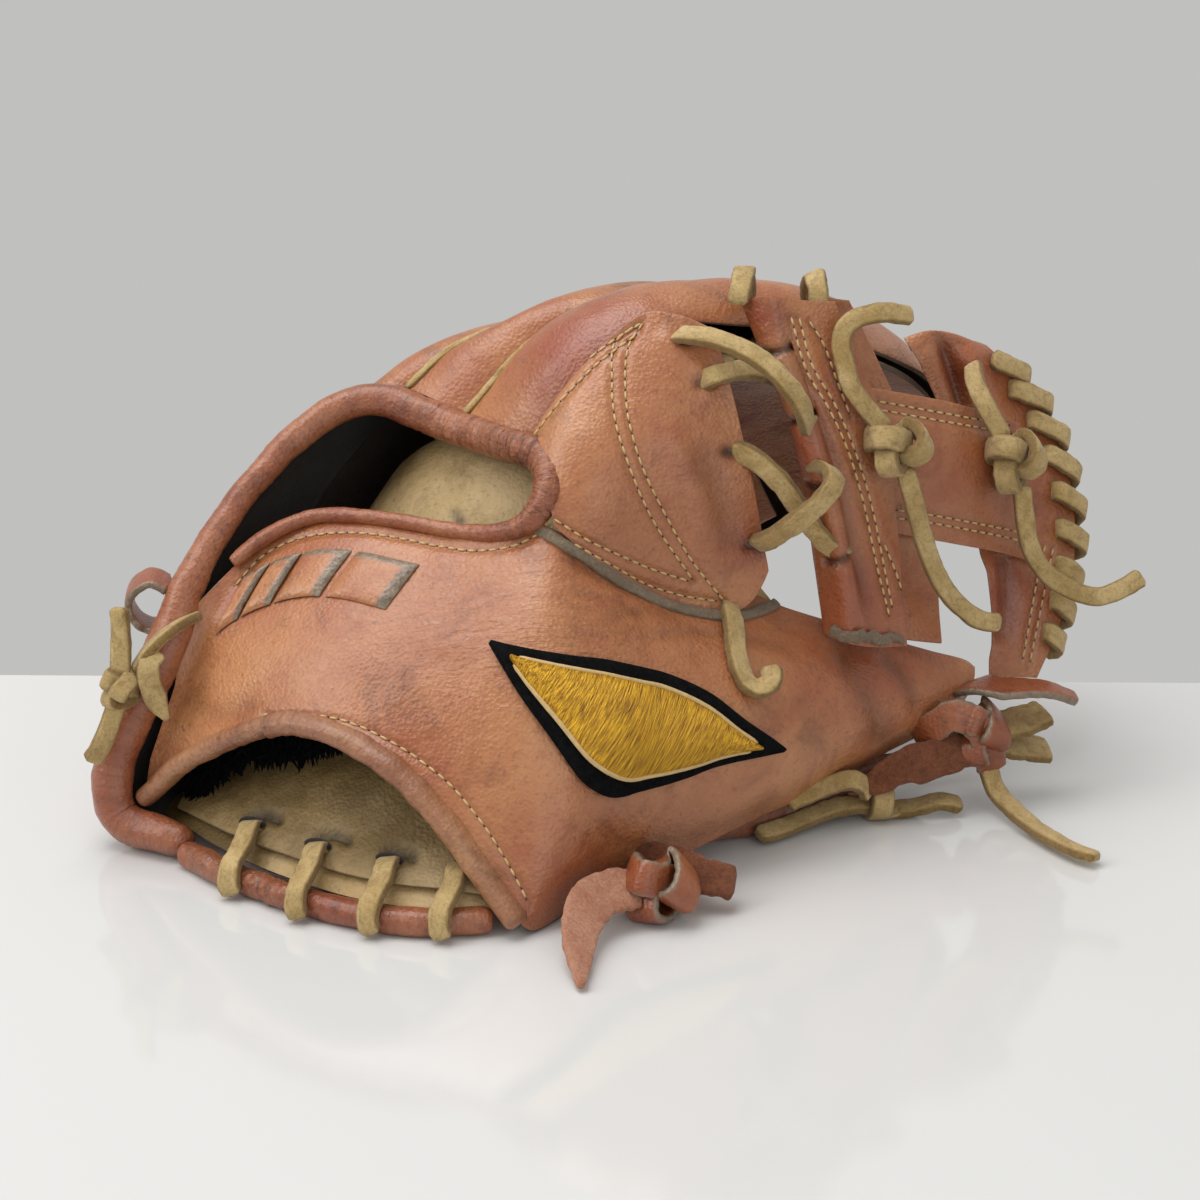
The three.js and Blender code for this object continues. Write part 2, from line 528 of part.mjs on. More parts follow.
// A lace or a roll, and the passage that it needs through leather.
const looser = (size) => ({ width: size.width + 2 * CLEAR, thick: size.thick + 2 * CLEAR, reach: CLEAR });
const lace = (name, size) => band(LACES[name].route, { ...size, flat: LACES[name].flat });
const passage = {};
for (const name of Object.keys(LACES)) passage[name] = solid(lace(name, looser(RAWHIDE)));
const roll = ({ size, route, grow }, room = 0) => band(route, {
  width: size[0] + room,
  thick: size[1] + room,
  section: SOFT,
  steps: Math.ceil(ROLL_STEPS * (route.length - 1)),
  grow,
  reach: room,
});
const rollRoom = (name) => solid(roll(name, 2 * CLEAR));
const backRoom = rollRoom(BACK_ROLL);
const wristRoom = rollRoom(WRIST_ROLL);

// A leather wall, and the room that its neighbours leave for it.
function roomFor(skin, { us, vs }) {
  const pastEdges = [us[0] - 0.01, ...us.slice(1, -1), us.at(-1) + 0.01];
  return solid(wall(skin, { us: pastEdges, vs, thick: LEATHER + 2 * CLEAR, raise: CLEAR }));
}

// Heel laces go from a hole in the palm over the rolled heel to its outer side.
function heelEdge(x) {
  const next = HEEL_ROLL.route.findIndex((p) => p[0] >= x);
  const [a, b] = [HEEL_ROLL.route[next - 1], HEEL_ROLL.route[next]];
  return a[1] + ((b[1] - a[1]) * (x - a[0])) / (b[0] - a[0]);
}
const heelLaces = HEEL_LACES.map((x) => {
  const y = heelEdge(x);
  return HEEL_LACE_STOPS.map(({ beside, inwards, height }) => [x + beside, y + inwards, height]);
});
const heelLace = (route, size) => band(route, { ...size, flat: [0, -0.5, 0.9], steps: 8 });
const heelPassages = heelLaces.map((route) => solid(heelLace(route, looser(RAWHIDE))));

// The finger backs, and the welts in the seams between them.
const fingers = Object.entries(FINGERS).map(([name, { low, high, bulge }]) => ({
  name,
  skin: arch(FINGER_ROWS.map((row, i) => ({ low: row[low], high: row[high], bulge: bulge[i] }))),
  grid: {
    us: span(low === 'first' ? 0 : SEAM_SHARE, high === 'little' ? 1 : 1 - SEAM_SHARE, 5),
    vs: span(0, 1, 12),
  },
}));
const welt = (name, size) => band(FINGER_ROWS.map((row) => row[name]).slice(0, 6), { ...size,
    flat: [0, -0.5, 0.8] });

const weltNames = ['welt1', 'welt2', 'welt3'];
const weltRooms = weltNames.map((name) => solid(welt(name, looser(WELT))));

const thumbSkin = arch(THUMB_BACK);
const thumbGrid = { us: span(0, 1, 5), vs: span(0, 1, 20) };
const sideSkin = arch(LITTLE_SIDE);
const sideGrid = { us: span(0, 1, 5), vs: span(0.006, 1, 7) };
const thumbRoom = roomFor(thumbSkin, thumbGrid);
const sideRoom = roomFor(sideSkin, sideGrid);
const fingerRooms = fingers.map(({ skin, grid }) => roomFor(skin, grid));

const palm = skinThrough(PALM, PALM_LINES);
const line = (index) => index / (PALM_LINES.length - 1);
const row = (index) => index / (PALM.length - 1);
const valleys = [5, 6, 7];
const palmAcross = span(0, 16, 16).filter((i) => i !== 11 && i !== 13).flatMap((i) => (
  valleys.includes(i / 2) ? [line(i / 2) - FINGER_SLOT, line(i / 2) + FINGER_SLOT] : [line(i / 2)]
));
const palmAlong = span(0, 1, 14);
const betweenFingers = (u, v) => v > row(5) && valleys.some((i) => Math.abs(u - line(i)) < FINGER_SLOT);
const inWeb = (u, v) => u > line(1) && u < line(4) && v > row(4);
const palmGrid = { us: palmAcross, vs: palmAlong, keep: (u, v) => !inWeb(u, v) && !betweenFingers(u, v) };
const palmWall = wall(palm, { ...palmGrid, thick: PALM_THICK, raise: PALM_THICK });
const crotchRooms = [passage.crotch_lace_4, passage.thumb_stay_lace];
add('palm_shell', cut(palmWall, [
  ...heelPassages, rollRoom(HEEL_ROLL), backRoom, thumbRoom, sideRoom, ...fingerRooms, ...crotchRooms,
]), 'tan_leather');
const liningWall = wall(palm, {
  us: palmAcross.filter((u) => u >= line(LINING_LINES.first) && u <= line(LINING_LINES.last)),
  vs: palmAlong.filter((v) => v <= row(LINING_ROWS.last)).map((v) => v || row(LINING_ROWS.first)),
  thick: LINING_THICK,
  raise: PALM_THICK + LINING_GAP + LINING_THICK,
});
add('palm_lining', cut(liningWall,
    [...heelPassages, wristRoom, thumbRoom, sideRoom, ...crotchRooms]), 'cream_lining');
add('heel_piping', cut(roll(HEEL_ROLL), [...heelPassages, wristRoom]), 'red_binding');

const thumbWall = wall(thumbSkin, { ...thumbGrid, thick: LEATHER });
add('thumb_back', cut(thumbWall, [backRoom, wristRoom, passage.thumb_stay_lace]), 'tan_leather');
add('wrist_binding', roll(WRIST_ROLL), 'mauve_binding');
const fleeceWall = wall(thumbSkin, {
  us: span(0.04, 0.86, 4), vs: thumbGrid.vs.slice(2, 9), thick: FLEECE_THICK, raise: -LEATHER - 2 * CLEAR,
});
add('wrist_fleece', cut(fleeceWall, [thumbRoom, sideRoom, wristRoom, backRoom]), 'navy_fleece');
add('back_binding', roll(BACK_ROLL), 'red_binding');

const indexWall = wall(arch(INDEX_PANEL), {
  us: span(0, 1, 6), vs: span(0, 1, 7), thick: LEATHER, raise: LEATHER,
});
const crotchPassages = [1, 2, 3, 4].map((i) => passage[`crotch_lace_${i}`]);
const indexRooms = [backRoom, thumbRoom, passage.thumb_stay_lace, ...crotchPassages];
add('index_panel', cut(indexWall, indexRooms), 'tan_leather');

for (const { name, skin, grid } of fingers) {
  const back = wall(skin, { ...grid, thick: LEATHER });
  add(name, cut(back,
      [backRoom, passage.web_top_lace_1, passage.web_top_lace_2, ...weltRooms]), 'tan_leather');
}
add('little_side_panel', cut(wall(sideSkin, { ...sideGrid, thick: LEATHER }), [backRoom]), 'tan_leather');
weltNames.forEach((name) => add(`finger_${name}`, cut(welt(name, WELT), [backRoom]), 'rawhide'));

const innerSkin = skinThrough(INNER_POST, INNER_POST_LINES);
const innerWall = wall(innerSkin, { us: span(0, 1, 7), vs: span(0, 1, 6), thick: LEATHER });
add('web_inner_post', cut(innerWall, [...crotchPassages, passage.web_top_lace_1]), 'tan_leather');
const leafSkin = skinThrough(INNER_LEAF, INNER_LEAF_LINES);
const leafWall = wall(leafSkin, { us: span(0, 1, 2), vs: span(0, 1, 6), thick: LEATHER });
add('web_inner_leaf', cut(leafWall, [passage.web_top_lace_2]), 'tan_leather');
const crossWall = wall(arch(CROSSBAR), { us: span(0, 1, 4), vs: span(0, 1, 6), thick: LEATHER });
add('web_crossbar', crossWall, 'tan_leather');

// Round the web's outer edge the lace goes in front, over the edge, behind and through a hole.
const outerSkin = skinThrough(OUTER_POST, OUTER_POST_LINES);
const edgePitch = (EDGE_TURNS.last - EDGE_TURNS.first) / EDGE_TURNS.count;
const edgeStarts = span(EDGE_TURNS.first, EDGE_TURNS.last, EDGE_TURNS.count).slice(0, EDGE_TURNS.count);
const towardsEdge = (v) => outerSkin(1, v).sub(outerSkin(EDGE_TURNS.hole, v)).normalize();
const edgeStops = edgeStarts.flatMap((start) => EDGE_STOPS.map(({ share, atHole, past, side, faces }) => {
  const v = start + share * edgePitch;
  const u = atHole ? EDGE_TURNS.hole : 1;
  const [up, outward] = [normalAt(outerSkin, u, v), towardsEdge(v)];
  const lift = side * (LEATHER / 2 + EDGE_LACE.thick / 2 + 3 * CLEAR) - LEATHER / 2;
  return {
    at: outerSkin(u, v).addScaledVector(up, lift).addScaledVector(outward, past).toArray(),
    face: outward.clone().multiplyScalar(faces[0]).addScaledVector(up, faces[1]).toArray(),
  };
})).slice(1, -1);
const edgeSlots = edgeStarts.slice(1).map((v) => {
  const up = normalAt(outerSkin, EDGE_TURNS.hole, v);
  const at = (lift) => outerSkin(EDGE_TURNS.hole, v).addScaledVector(up, lift).toArray();
  const size = { width: EDGE_LACE.width + 2 * CLEAR, thick: EDGE_LACE.thick + 2 * CLEAR };
  return solid(band([at(LEATHER), at(-2 * LEATHER)], { ...size, flat: towardsEdge(v).toArray(),
      steps: 1 }));
});
const outerWall = wall(outerSkin, { us: span(0, 1, 4), vs: span(0, 1, 9), thick: LEATHER });
const edgeLace = (size) => band(edgeStops.map(({ at }) => at), {
  ...size, faces: edgeStops.map(({ face }) => face), steps: edgeStops.length - 1,
});
add('web_outer_post', cut(outerWall, [...edgeSlots, solid(edgeLace(looser(EDGE_LACE)))]), 'tan_leather');
add('web_edge_lace', edgeLace(EDGE_LACE), 'rawhide');

for (const name of Object.keys(LACES)) {
  add(name, lace(name, RAWHIDE), 'rawhide');
}
heelLaces.forEach((route, i) => add(`heel_lace_${i + 1}`, heelLace(route, RAWHIDE), 'rawhide'));
// Each tie comes out from under the leather that it holds, and ends at its knot.
const knotRooms = Object.values(KNOTS).map(({ at, half, turn }) => (
  solid(knot({ at, half: half.map((h) => h + CLEAR), turn }))
));
for (const [name, { route, flat, tip }] of Object.entries(TIES)) {
  const tie = band(route, { ...LEATHER_TIE, flat, tip });
  add(name, cut(tie,
      [thumbRoom, backRoom, ...knotRooms]), name.includes('stub_') ? 'rawhide' : 'tan_leather');
}
for (const [name, size] of Object.entries(KNOTS)) {
  add(name, knot(size), /web|strap/.test(name) ? 'rawhide' : 'tan_leather');
}
for (const [name, route] of Object.entries(TAILS)) {
  add(name, cut(tube(route, TAIL_RADIUS), knotRooms), 'rawhide');
}
const strapTie = band(STRAP_TIE, { ...RAWHIDE, flat: [-0.3, -0.8, 0.5] });
add('strap_tie', cut(strapTie, [thumbRoom, backRoom, ...knotRooms]), 'rawhide');

// The badge is a plain lozenge of gold thread on black felt, bent to the thumb's back.
function lozenge(long, wide) {
  const { u, v, turn, blunt, curve } = BADGE;
  const e = 0.02;
  const lengthAcross = thumbSkin(u + e, v).distanceTo(thumbSkin(u - e, v)) / (2 * e);
  const lengthAlong = thumbSkin(u, v + e).distanceTo(thumbSkin(u, v - e)) / (2 * e);
  return (a, b) => {
    const x = (2 * b - 1) * long;
    const y = (2 * a - 1) * wide * (blunt - Math.abs(2 * b - 1) ** curve);
    const [right, up] = [x * Math.cos(turn) + y * Math.sin(turn), y * Math.cos(turn) - x * Math.sin(turn)];
    return [u + up / lengthAcross, v + right / lengthAlong];
  };
}
function badge(long, wide, thick, raise) {
  const place = lozenge(long, wide);
  const skin = (a, b) => {
    const [u, v] = place(a, b);
    return thumbSkin(u, v).addScaledVector(normalAt(thumbSkin, u, v), raise);
  };
  return wall(skin, { us: span(0, 1, 3), vs: span(0, 1, 8), thick: -thick });
}
add('badge_border', badge(BADGE.long, BADGE.wide, BADGE.felt, BADGE.rise), 'black_felt');
const [goldLong, goldWide] = [BADGE.long - BADGE.border, BADGE.wide - BADGE.border];
const goldRise = BADGE.rise + BADGE.felt + 2 * CLEAR;
add('badge', badge(goldLong, goldWide, BADGE.thick, goldRise), 'gold_thread');
for (let i = 0; i < PADS.count; i += 1) {
  const v = PADS.first + i * PADS.pitch;
  const pad = wall(thumbSkin, {
    us: span(PADS.low, PADS.high, 2), vs: span(v, v + PADS.wide, 2), thick: PADS.thick,
        raise: PADS.thick + CLEAR,
  });
  add(`strap_pad_${i + 1}`, pad, 'tan_leather');
}

export default glove;
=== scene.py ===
# A worn tan leather infield glove for the left hand, laid palm down on a table.
# Tables are in millimetres, measured from the heel's thumb corner. Blender works in metres.
import math

import bmesh
import bpy
import numpy as np
from mathutils import Matrix, Vector, noise
from mathutils.bvhtree import BVHTree


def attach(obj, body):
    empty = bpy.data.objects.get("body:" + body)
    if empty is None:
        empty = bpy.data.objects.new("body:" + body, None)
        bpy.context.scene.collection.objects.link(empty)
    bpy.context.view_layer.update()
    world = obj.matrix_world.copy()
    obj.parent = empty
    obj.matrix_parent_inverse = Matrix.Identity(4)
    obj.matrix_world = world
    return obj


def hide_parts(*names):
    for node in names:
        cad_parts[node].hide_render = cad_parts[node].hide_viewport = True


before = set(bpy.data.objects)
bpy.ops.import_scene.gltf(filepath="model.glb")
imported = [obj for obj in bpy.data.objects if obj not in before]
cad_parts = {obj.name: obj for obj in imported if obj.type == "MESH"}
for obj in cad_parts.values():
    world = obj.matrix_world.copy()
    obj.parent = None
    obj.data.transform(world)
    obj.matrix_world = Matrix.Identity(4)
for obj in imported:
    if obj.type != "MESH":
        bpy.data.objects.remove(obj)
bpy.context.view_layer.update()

MM = 0.001
# The tables' origin is the heel's thumb corner. This point of them is the frame's origin.
MIDDLE = np.array([-45, 92.46, 0])

# The photograph's camera: its angles, its field of view, its distance and what it looks at.
AZIMUTH = math.radians(30)
ELEVATION = math.radians(20)
FIELD_OF_VIEW = math.radians(24)
DISTANCE = 800
LOOKS_AT = {"away": 85, "up": 66}
PHOTO = 1200

RIGHT = np.array([math.cos(AZIMUTH), math.sin(AZIMUTH), 0])
AWAY = np.array([-math.sin(AZIMUTH), math.cos(AZIMUTH), 0])
UP = np.array([0, 0, 1])
FORWARD = AWAY * math.cos(ELEVATION) - UP * math.sin(ELEVATION)
OVERHEAD = AWAY * math.sin(ELEVATION) + UP * math.cos(ELEVATION)
TARGET = AWAY * LOOKS_AT["away"] + UP * LOOKS_AT["up"]
EYE = TARGET - FORWARD * DISTANCE
FOCAL = PHOTO / 2 / math.tan(FIELD_OF_VIEW / 2)

# Sections of the leather. A row of PALM goes across from the thumb's low and high edge over the web, the first
# finger and the three valleys to the little finger, and the rows go from the heel to the fingertips. A row of
# FINGER_ROWS goes from the first finger over the three welts to the little finger.
PALM = (
    ((-28, -2, 1), (-33, -6, 2), (-41, -11, 3), (-52, -15, 3), (-66, -17, 3), (-85, -16, 3), (-106, -12, 3),
     (-128, -5, 3), (-143, 0, 2)),
    ((-25, 21, 1), (-32, 19, 13), (-42, 16, 18), (-54, 14, 21), (-69, 13, 22), (-87, 13, 22), (-108, 14, 20),
     (-130, 17, 14), (-150, 20, 3)),
    ((-17, 47, 2), (-26, 49, 25), (-37, 47, 39), (-49, 46, 48), (-67, 46, 53), (-87, 47, 54), (-109, 49, 50),
     (-131, 50, 39), (-149, 52, 11)),
    ((-4, 74, 5), (-14, 80, 35), (-26, 80, 57), (-41, 79, 76), (-58, 78, 87), (-80, 78, 90), (-104, 79, 84),
     (-126, 79, 65), (-144, 80, 23)),
    ((6, 100, 8), (-3, 110, 50), (-13, 105, 72), (-23, 104, 96), (-35, 107, 117), (-64, 106, 116), (-92, 106, 107),
     (-117, 105, 86), (-137, 104, 29)),
    ((17, 124, 11), (11, 130, 43), (9, 121, 80), (0, 122, 108), (-18, 128, 127), (-54, 132, 121), (-82, 132, 111),
     (-106, 130, 87), (-129, 127, 29)),
    ((26, 142, 17), (25, 149, 35), (30, 148, 70), (22, 152, 103), (-1, 156, 120), (-39, 159, 113), (-69, 160, 99),
     (-96, 152, 76), (-120, 150, 24)),
    ((31, 151, 21), (33, 157, 30), (46, 176, 55), (36, 188, 88), (6, 185, 103), (-24, 187, 91), (-55, 186, 77),
     (-87, 178, 53), (-112, 173, 12)),
    ((34, 154, 24), (36, 158, 28), (54, 186, 50), (42, 202, 82), (9, 197, 88), (-16, 205, 62), (-49, 202, 52),
     (-84, 195, 25), (-104, 188, 3)),
)
FINGER_ROWS = (
    ((-60, 71, 110), (-91, 79.5, 111.5), (-111.5, 81, 116.5), (-131, 70, 108), (-152, 59, 24)),
    ((-51, 78, 128), (-80, 98, 130), (-103, 94, 127), (-125, 88, 113), (-149, 82, 28)),
    ((-41, 96, 141), (-66, 114, 141), (-90, 111, 132), (-117, 107, 115), (-142, 106, 32)),
    ((-23, 121, 138), (-54, 134, 140), (-78, 133, 130), (-107, 129, 111), (-134, 128, 33)),
    ((-5, 146, 131), (-40, 158, 131), (-66, 158, 118), (-98, 151, 98), (-125, 150, 28)),
    ((5, 174, 118), (-27, 184, 112), (-55, 182, 97), (-90, 174, 76), (-116, 172, 17)),
    ((11, 195, 104), (-18, 206, 86), (-49, 202, 72), (-86, 192, 50), (-109, 187, 7)),
    ((13, 208, 91), (-14, 216, 67), (-47, 212, 57), (-84, 204, 29), (-105, 198, 1)),
    ((10, 202, 86), (-15, 211, 60), (-47, 207, 50), (-83, 200, 23), (-104, 193, 1.5)),
)
# A row of these is a point of the low edge, one of the high edge, and the height of the bulge between them.
THUMB_BACK = (
    ((-142, -5, 14), (-140, 10, 64), 2),
    ((-126, -5, 33), (-131, 32, 79), 3),
    ((-94, -5, 48), (-112, 42, 87), 3),
    ((-67, -5, 45), (-80, 45, 88), 3),
    ((-46, -5, 32), (-56, 46, 89), 5),
    ((-29, -5, 14), (-43, 51, 91), 9),
    ((-19, -4, 1.6), (-37, 65, 89), 13),
    ((-16, 17, 1.4), (-28.5, 78.5, 80), 16),
    ((-8, 38, 3), (-16.5, 94, 71.5), 17),
    ((3, 60, 7), (-1, 105, 62), 15),
    ((12, 84, 10), (14, 119, 54), 13),
    ((22, 112, 14), (29, 137, 44), 10),
    ((34, 134, 20), (37, 150, 38), 6),
    ((39, 144, 25), (40, 153, 35), 3),
)
INDEX_PANEL = (
    ((-44.4, 50.6, 93.6), (-60, 67.5, 114), 3),
    ((-33.5, 58, 83.7), (-53, 74.5, 128), 7),
    ((-24.7, 70.6, 72.6), (-41.5, 92.5, 143.5), 9),
    ((-12.7, 83.9, 64.9), (-32, 98, 144.5), 8),
    ((-0.5, 98.4, 64.9), (-21, 101, 141.5), 4),
)
LITTLE_SIDE = (
    ((-152, 58, 23), (-132, 66, 106), 13),
    ((-153, 54, 21), (-135, 54, 102), 13),
    ((-156, 38, 12), (-139, 33, 88), 9),
    ((-157, 21, 7), (-142, 15, 71), 6),
    ((-155, 5, 4), (-147, -1, 48), 3),
    ((-150, -8, 3), (-153, -9, 11), 1),
)
CROSSBAR = (
    ((17, 129, 81), (7, 128, 123), 0.5),
    ((25, 139, 77), (17, 141, 119), 2),
    ((33, 150, 73), (28, 155, 114), 2.5),
    ((42.7, 165.6, 67), (35.7, 168.6, 108), 1.5),
    ((49.7, 174.7, 62), (40.7, 176.7, 104), 0.5),
)
# A row of these goes across a part of the web from left to right, and the rows go down.
INNER_POST = (
    ((-16, 118, 147), (-18, 110, 148), (-9, 108, 151), (-2, 116, 149), (5, 123, 148)),
    ((-9, 117, 134), (-11, 109, 136), (-1, 108, 138), (5, 116, 135), (11, 125, 133)),
    ((0, 117, 114), (-1, 109, 116), (8, 107, 118), (14, 116, 115), (20, 127, 112)),
    ((6, 116, 89), (5, 108, 91), (15, 107, 93), (20, 116, 89), (25, 126, 85)),
    ((13, 114, 54), (12, 107, 55), (21, 106, 54), (26, 115, 51), (30, 125, 49)),
)
INNER_LEAF = (
    ((-4, 130, 147), (0, 133, 146), (3, 137, 145)),
    ((2, 133, 129), (6, 138, 128), (9, 144, 127)),
    ((8, 135, 105), (14, 142, 104), (19, 150, 102)),
    ((15, 132, 80), (22, 140, 79), (27, 148, 77)),
    ((23, 126, 50), (29, 132, 48), (35, 139, 46)),
)
OUTER_POST = (
    ((7, 172, 123), (14, 182, 123), (22, 194, 119)),
    ((8, 165, 128), (16, 175, 129), (25, 189, 122)),
    ((15, 168, 112), (27, 183, 110), (38, 197, 106)),
    ((25, 168, 91), (39, 184, 90), (49, 197, 85)),
    ((35, 164, 69), (47, 179, 67), (55, 191, 64)),
    ((41, 160, 49), (50, 171, 47), (56, 180, 44)),
    ((43, 157, 31), (49, 163, 30), (54, 168, 29)),
)


# Curves and skins. Points are rows of numpy arrays, in the tables' millimetres.
def spline(points, t):
    """Points of the even Catmull-Rom curve through each row of `points`, at the shares `t`."""
    last = points.shape[1] - 1
    at = np.clip(t, 0, 1) * last
    i = np.minimum(at.astype(int), last - 1)
    f = (at - i)[:, None]
    before = 2 * points[:, :1] - points[:, 1:2]
    after = 2 * points[:, -1:] - points[:, -2:-1]
    all_points = np.concatenate([before, points, after], axis=1)
    which = np.arange(len(t)) if points.shape[0] > 1 else 0
    a, b, c, d = (all_points[which, i + k] for k in range(4))
    m0, m1 = (c - a) / 2, (d - b) / 2
    return ((2 * b - 2 * c + m0 + m1) * f + (3 * c - 3 * b - 2 * m0 - m1)) * f * f + m0 * f + b


def curve(points, t):
    return spline(np.array(points, float)[None], np.atleast_1d(np.asarray(t, float)))


def unit(vectors):
    return vectors / np.maximum(np.linalg.norm(vectors, axis=-1, keepdims=True), 1e-9)


def way_gone(points):
    """How far along its points a line has come at each of them."""
    return np.concatenate([[0], np.cumsum(np.linalg.norm(np.diff(np.asarray(points, float), axis=0), axis=1))])


def skin_through(rows):
    """A skin through rows of points: u runs across the rows and v from the first to the last."""
    table = np.array(rows, float)

    def skin(u, v):
        across = spline(table.reshape(1, len(rows), -1), v).reshape(len(v), -1, 3)
        return spline(across, u)
    return skin


def arch(rows, puff=1.0):
    """A skin that bulges between its low and its high edge. A puff under 1 is fuller at the edges."""
    low, high, bulge = (np.array([np.atleast_1d(part) for part in parts], float)[None] for parts in zip(*rows))

    def skin(u, v):
        a, b = spline(low, v), spline(high, v)
        ahead, behind = np.minimum(v + 0.01, 1), np.maximum(v - 0.01, 0)
        run = spline(low, ahead) + spline(high, ahead) - spline(low, behind) - spline(high, behind)
        out = unit(np.cross(run, b - a))
        lift = spline(bulge, v) * (np.sin(np.pi * np.clip(u, 0, 1)) ** puff)[:, None]
        return a + (b - a) * u[:, None] + out * lift
    return skin


def normals(skin, u, v, step=0.006):
    du = skin(np.minimum(u + step, 1), v) - skin(np.maximum(u - step, 0), v)
    dv = skin(u, np.minimum(v + step, 1)) - skin(u, np.maximum(v - step, 0))
    return unit(np.cross(dv, du))


def metres(points):
    return (np.asarray(points, float) - MIDDLE) * MM


def photo(points):
    """Where points lie in the photograph's pixels."""
    seen = points - EYE
    depth = seen @ FORWARD
    across, up = seen @ RIGHT, seen @ OVERHEAD
    return PHOTO / 2 + FOCAL * np.stack([across / depth, -up / depth], axis=-1)


def photo_ray(x, y):
    return FORWARD + RIGHT * (x - PHOTO / 2) / FOCAL - OVERHEAD * (y - PHOTO / 2) / FOCAL


def near_line(places, path, wide, fade):
    """1 on a line of the photograph and 0 away from it, softer over a share `fade` at its two ends."""
    smooth = curve(path, np.linspace(0, 1, 6 * len(path)))
    reach = way_gone(smooth)
    best = np.full(len(places), 1e6)
    share = np.zeros(len(places))
    for i in range(len(smooth) - 1):
        a, run = smooth[i], smooth[i + 1] - smooth[i]
        t = np.clip((places - a) @ run / max(run @ run, 1e-9), 0, 1)
        far = np.linalg.norm(places - a - t[:, None] * run, axis=1)
        closer = far < best
        best[closer] = far[closer]
        share[closer] = ((reach[i] + t * np.linalg.norm(run)) / reach[-1])[closer]
    ends = np.clip(np.minimum(share, 1 - share) / fade, 0, 1) if fade else 1
    return np.exp(-(best / wide) ** 2) * ends


def near_spots(places, spots):
    """The sum of soft round spots of the photograph, each at x and y with its radius and its strength."""
    return sum((strength * np.exp(-(((places - (x, y)) ** 2).sum(axis=1) / radius ** 2))
                for x, y, radius, strength in spots), np.zeros(len(places)))


def ripple(points, size, height):
    """Soft uneven waves of about that size and height, in millimetres."""
    return np.array([noise.noise(Vector(p)) for p in points / size]) * height


# Making meshes. A panel is uneven in large and small waves: their size, their share of its waves, their place.
WAVES = ((26, 1.6, 0), (9, 0.5, 40))
# A lace's ends are narrowed by this share, over this share of its thickness.
BLUNT = {"cut": 0.35, "reach": 0.35}
# Edges of a wall that turn by more than this are rounded.
EDGE_ANGLE = math.radians(55)


def sheet_grid(columns, rows):
    """A flat grid from 0 to 1, as a bmesh."""
    bm = bmesh.new()
    bm.loops.layers.uv.new("UVMap")
    bmesh.ops.create_grid(bm, x_segments=columns, y_segments=rows, size=0.5, calc_uvs=True)
    bmesh.ops.translate(bm, verts=bm.verts, vec=(0.5, 0.5, 0))
    return bm


def in_scene(name, data):
    made = bpy.data.objects.new(name, data)
    bpy.context.scene.collection.objects.link(made)
    return made


def mesh_of(name, bm, finishes):
    mesh = bpy.data.meshes.new(name)
    bm.to_mesh(mesh)
    bm.free()
    for finish in finishes:
        mesh.materials.append(finish)
    return mesh


def finished(name, bm, finishes):
    """Turns a bmesh into an object of the glove that rides on its only body."""
    mesh = mesh_of(name, bm, finishes)
    mesh.shade_smooth()
    piece = in_scene(name, mesh)
    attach(piece, "root")
    return piece


def stands_for(node, slot):
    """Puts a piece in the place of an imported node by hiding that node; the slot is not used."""
    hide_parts(node)


def paint(bm, marks):
    """Writes the values that the finishes read as attributes."""
    for name, values in marks.items():
        layer = bm.verts.layers.float.new(name)
        for vertex in bm.verts:
            vertex[layer] = values[vertex.index]


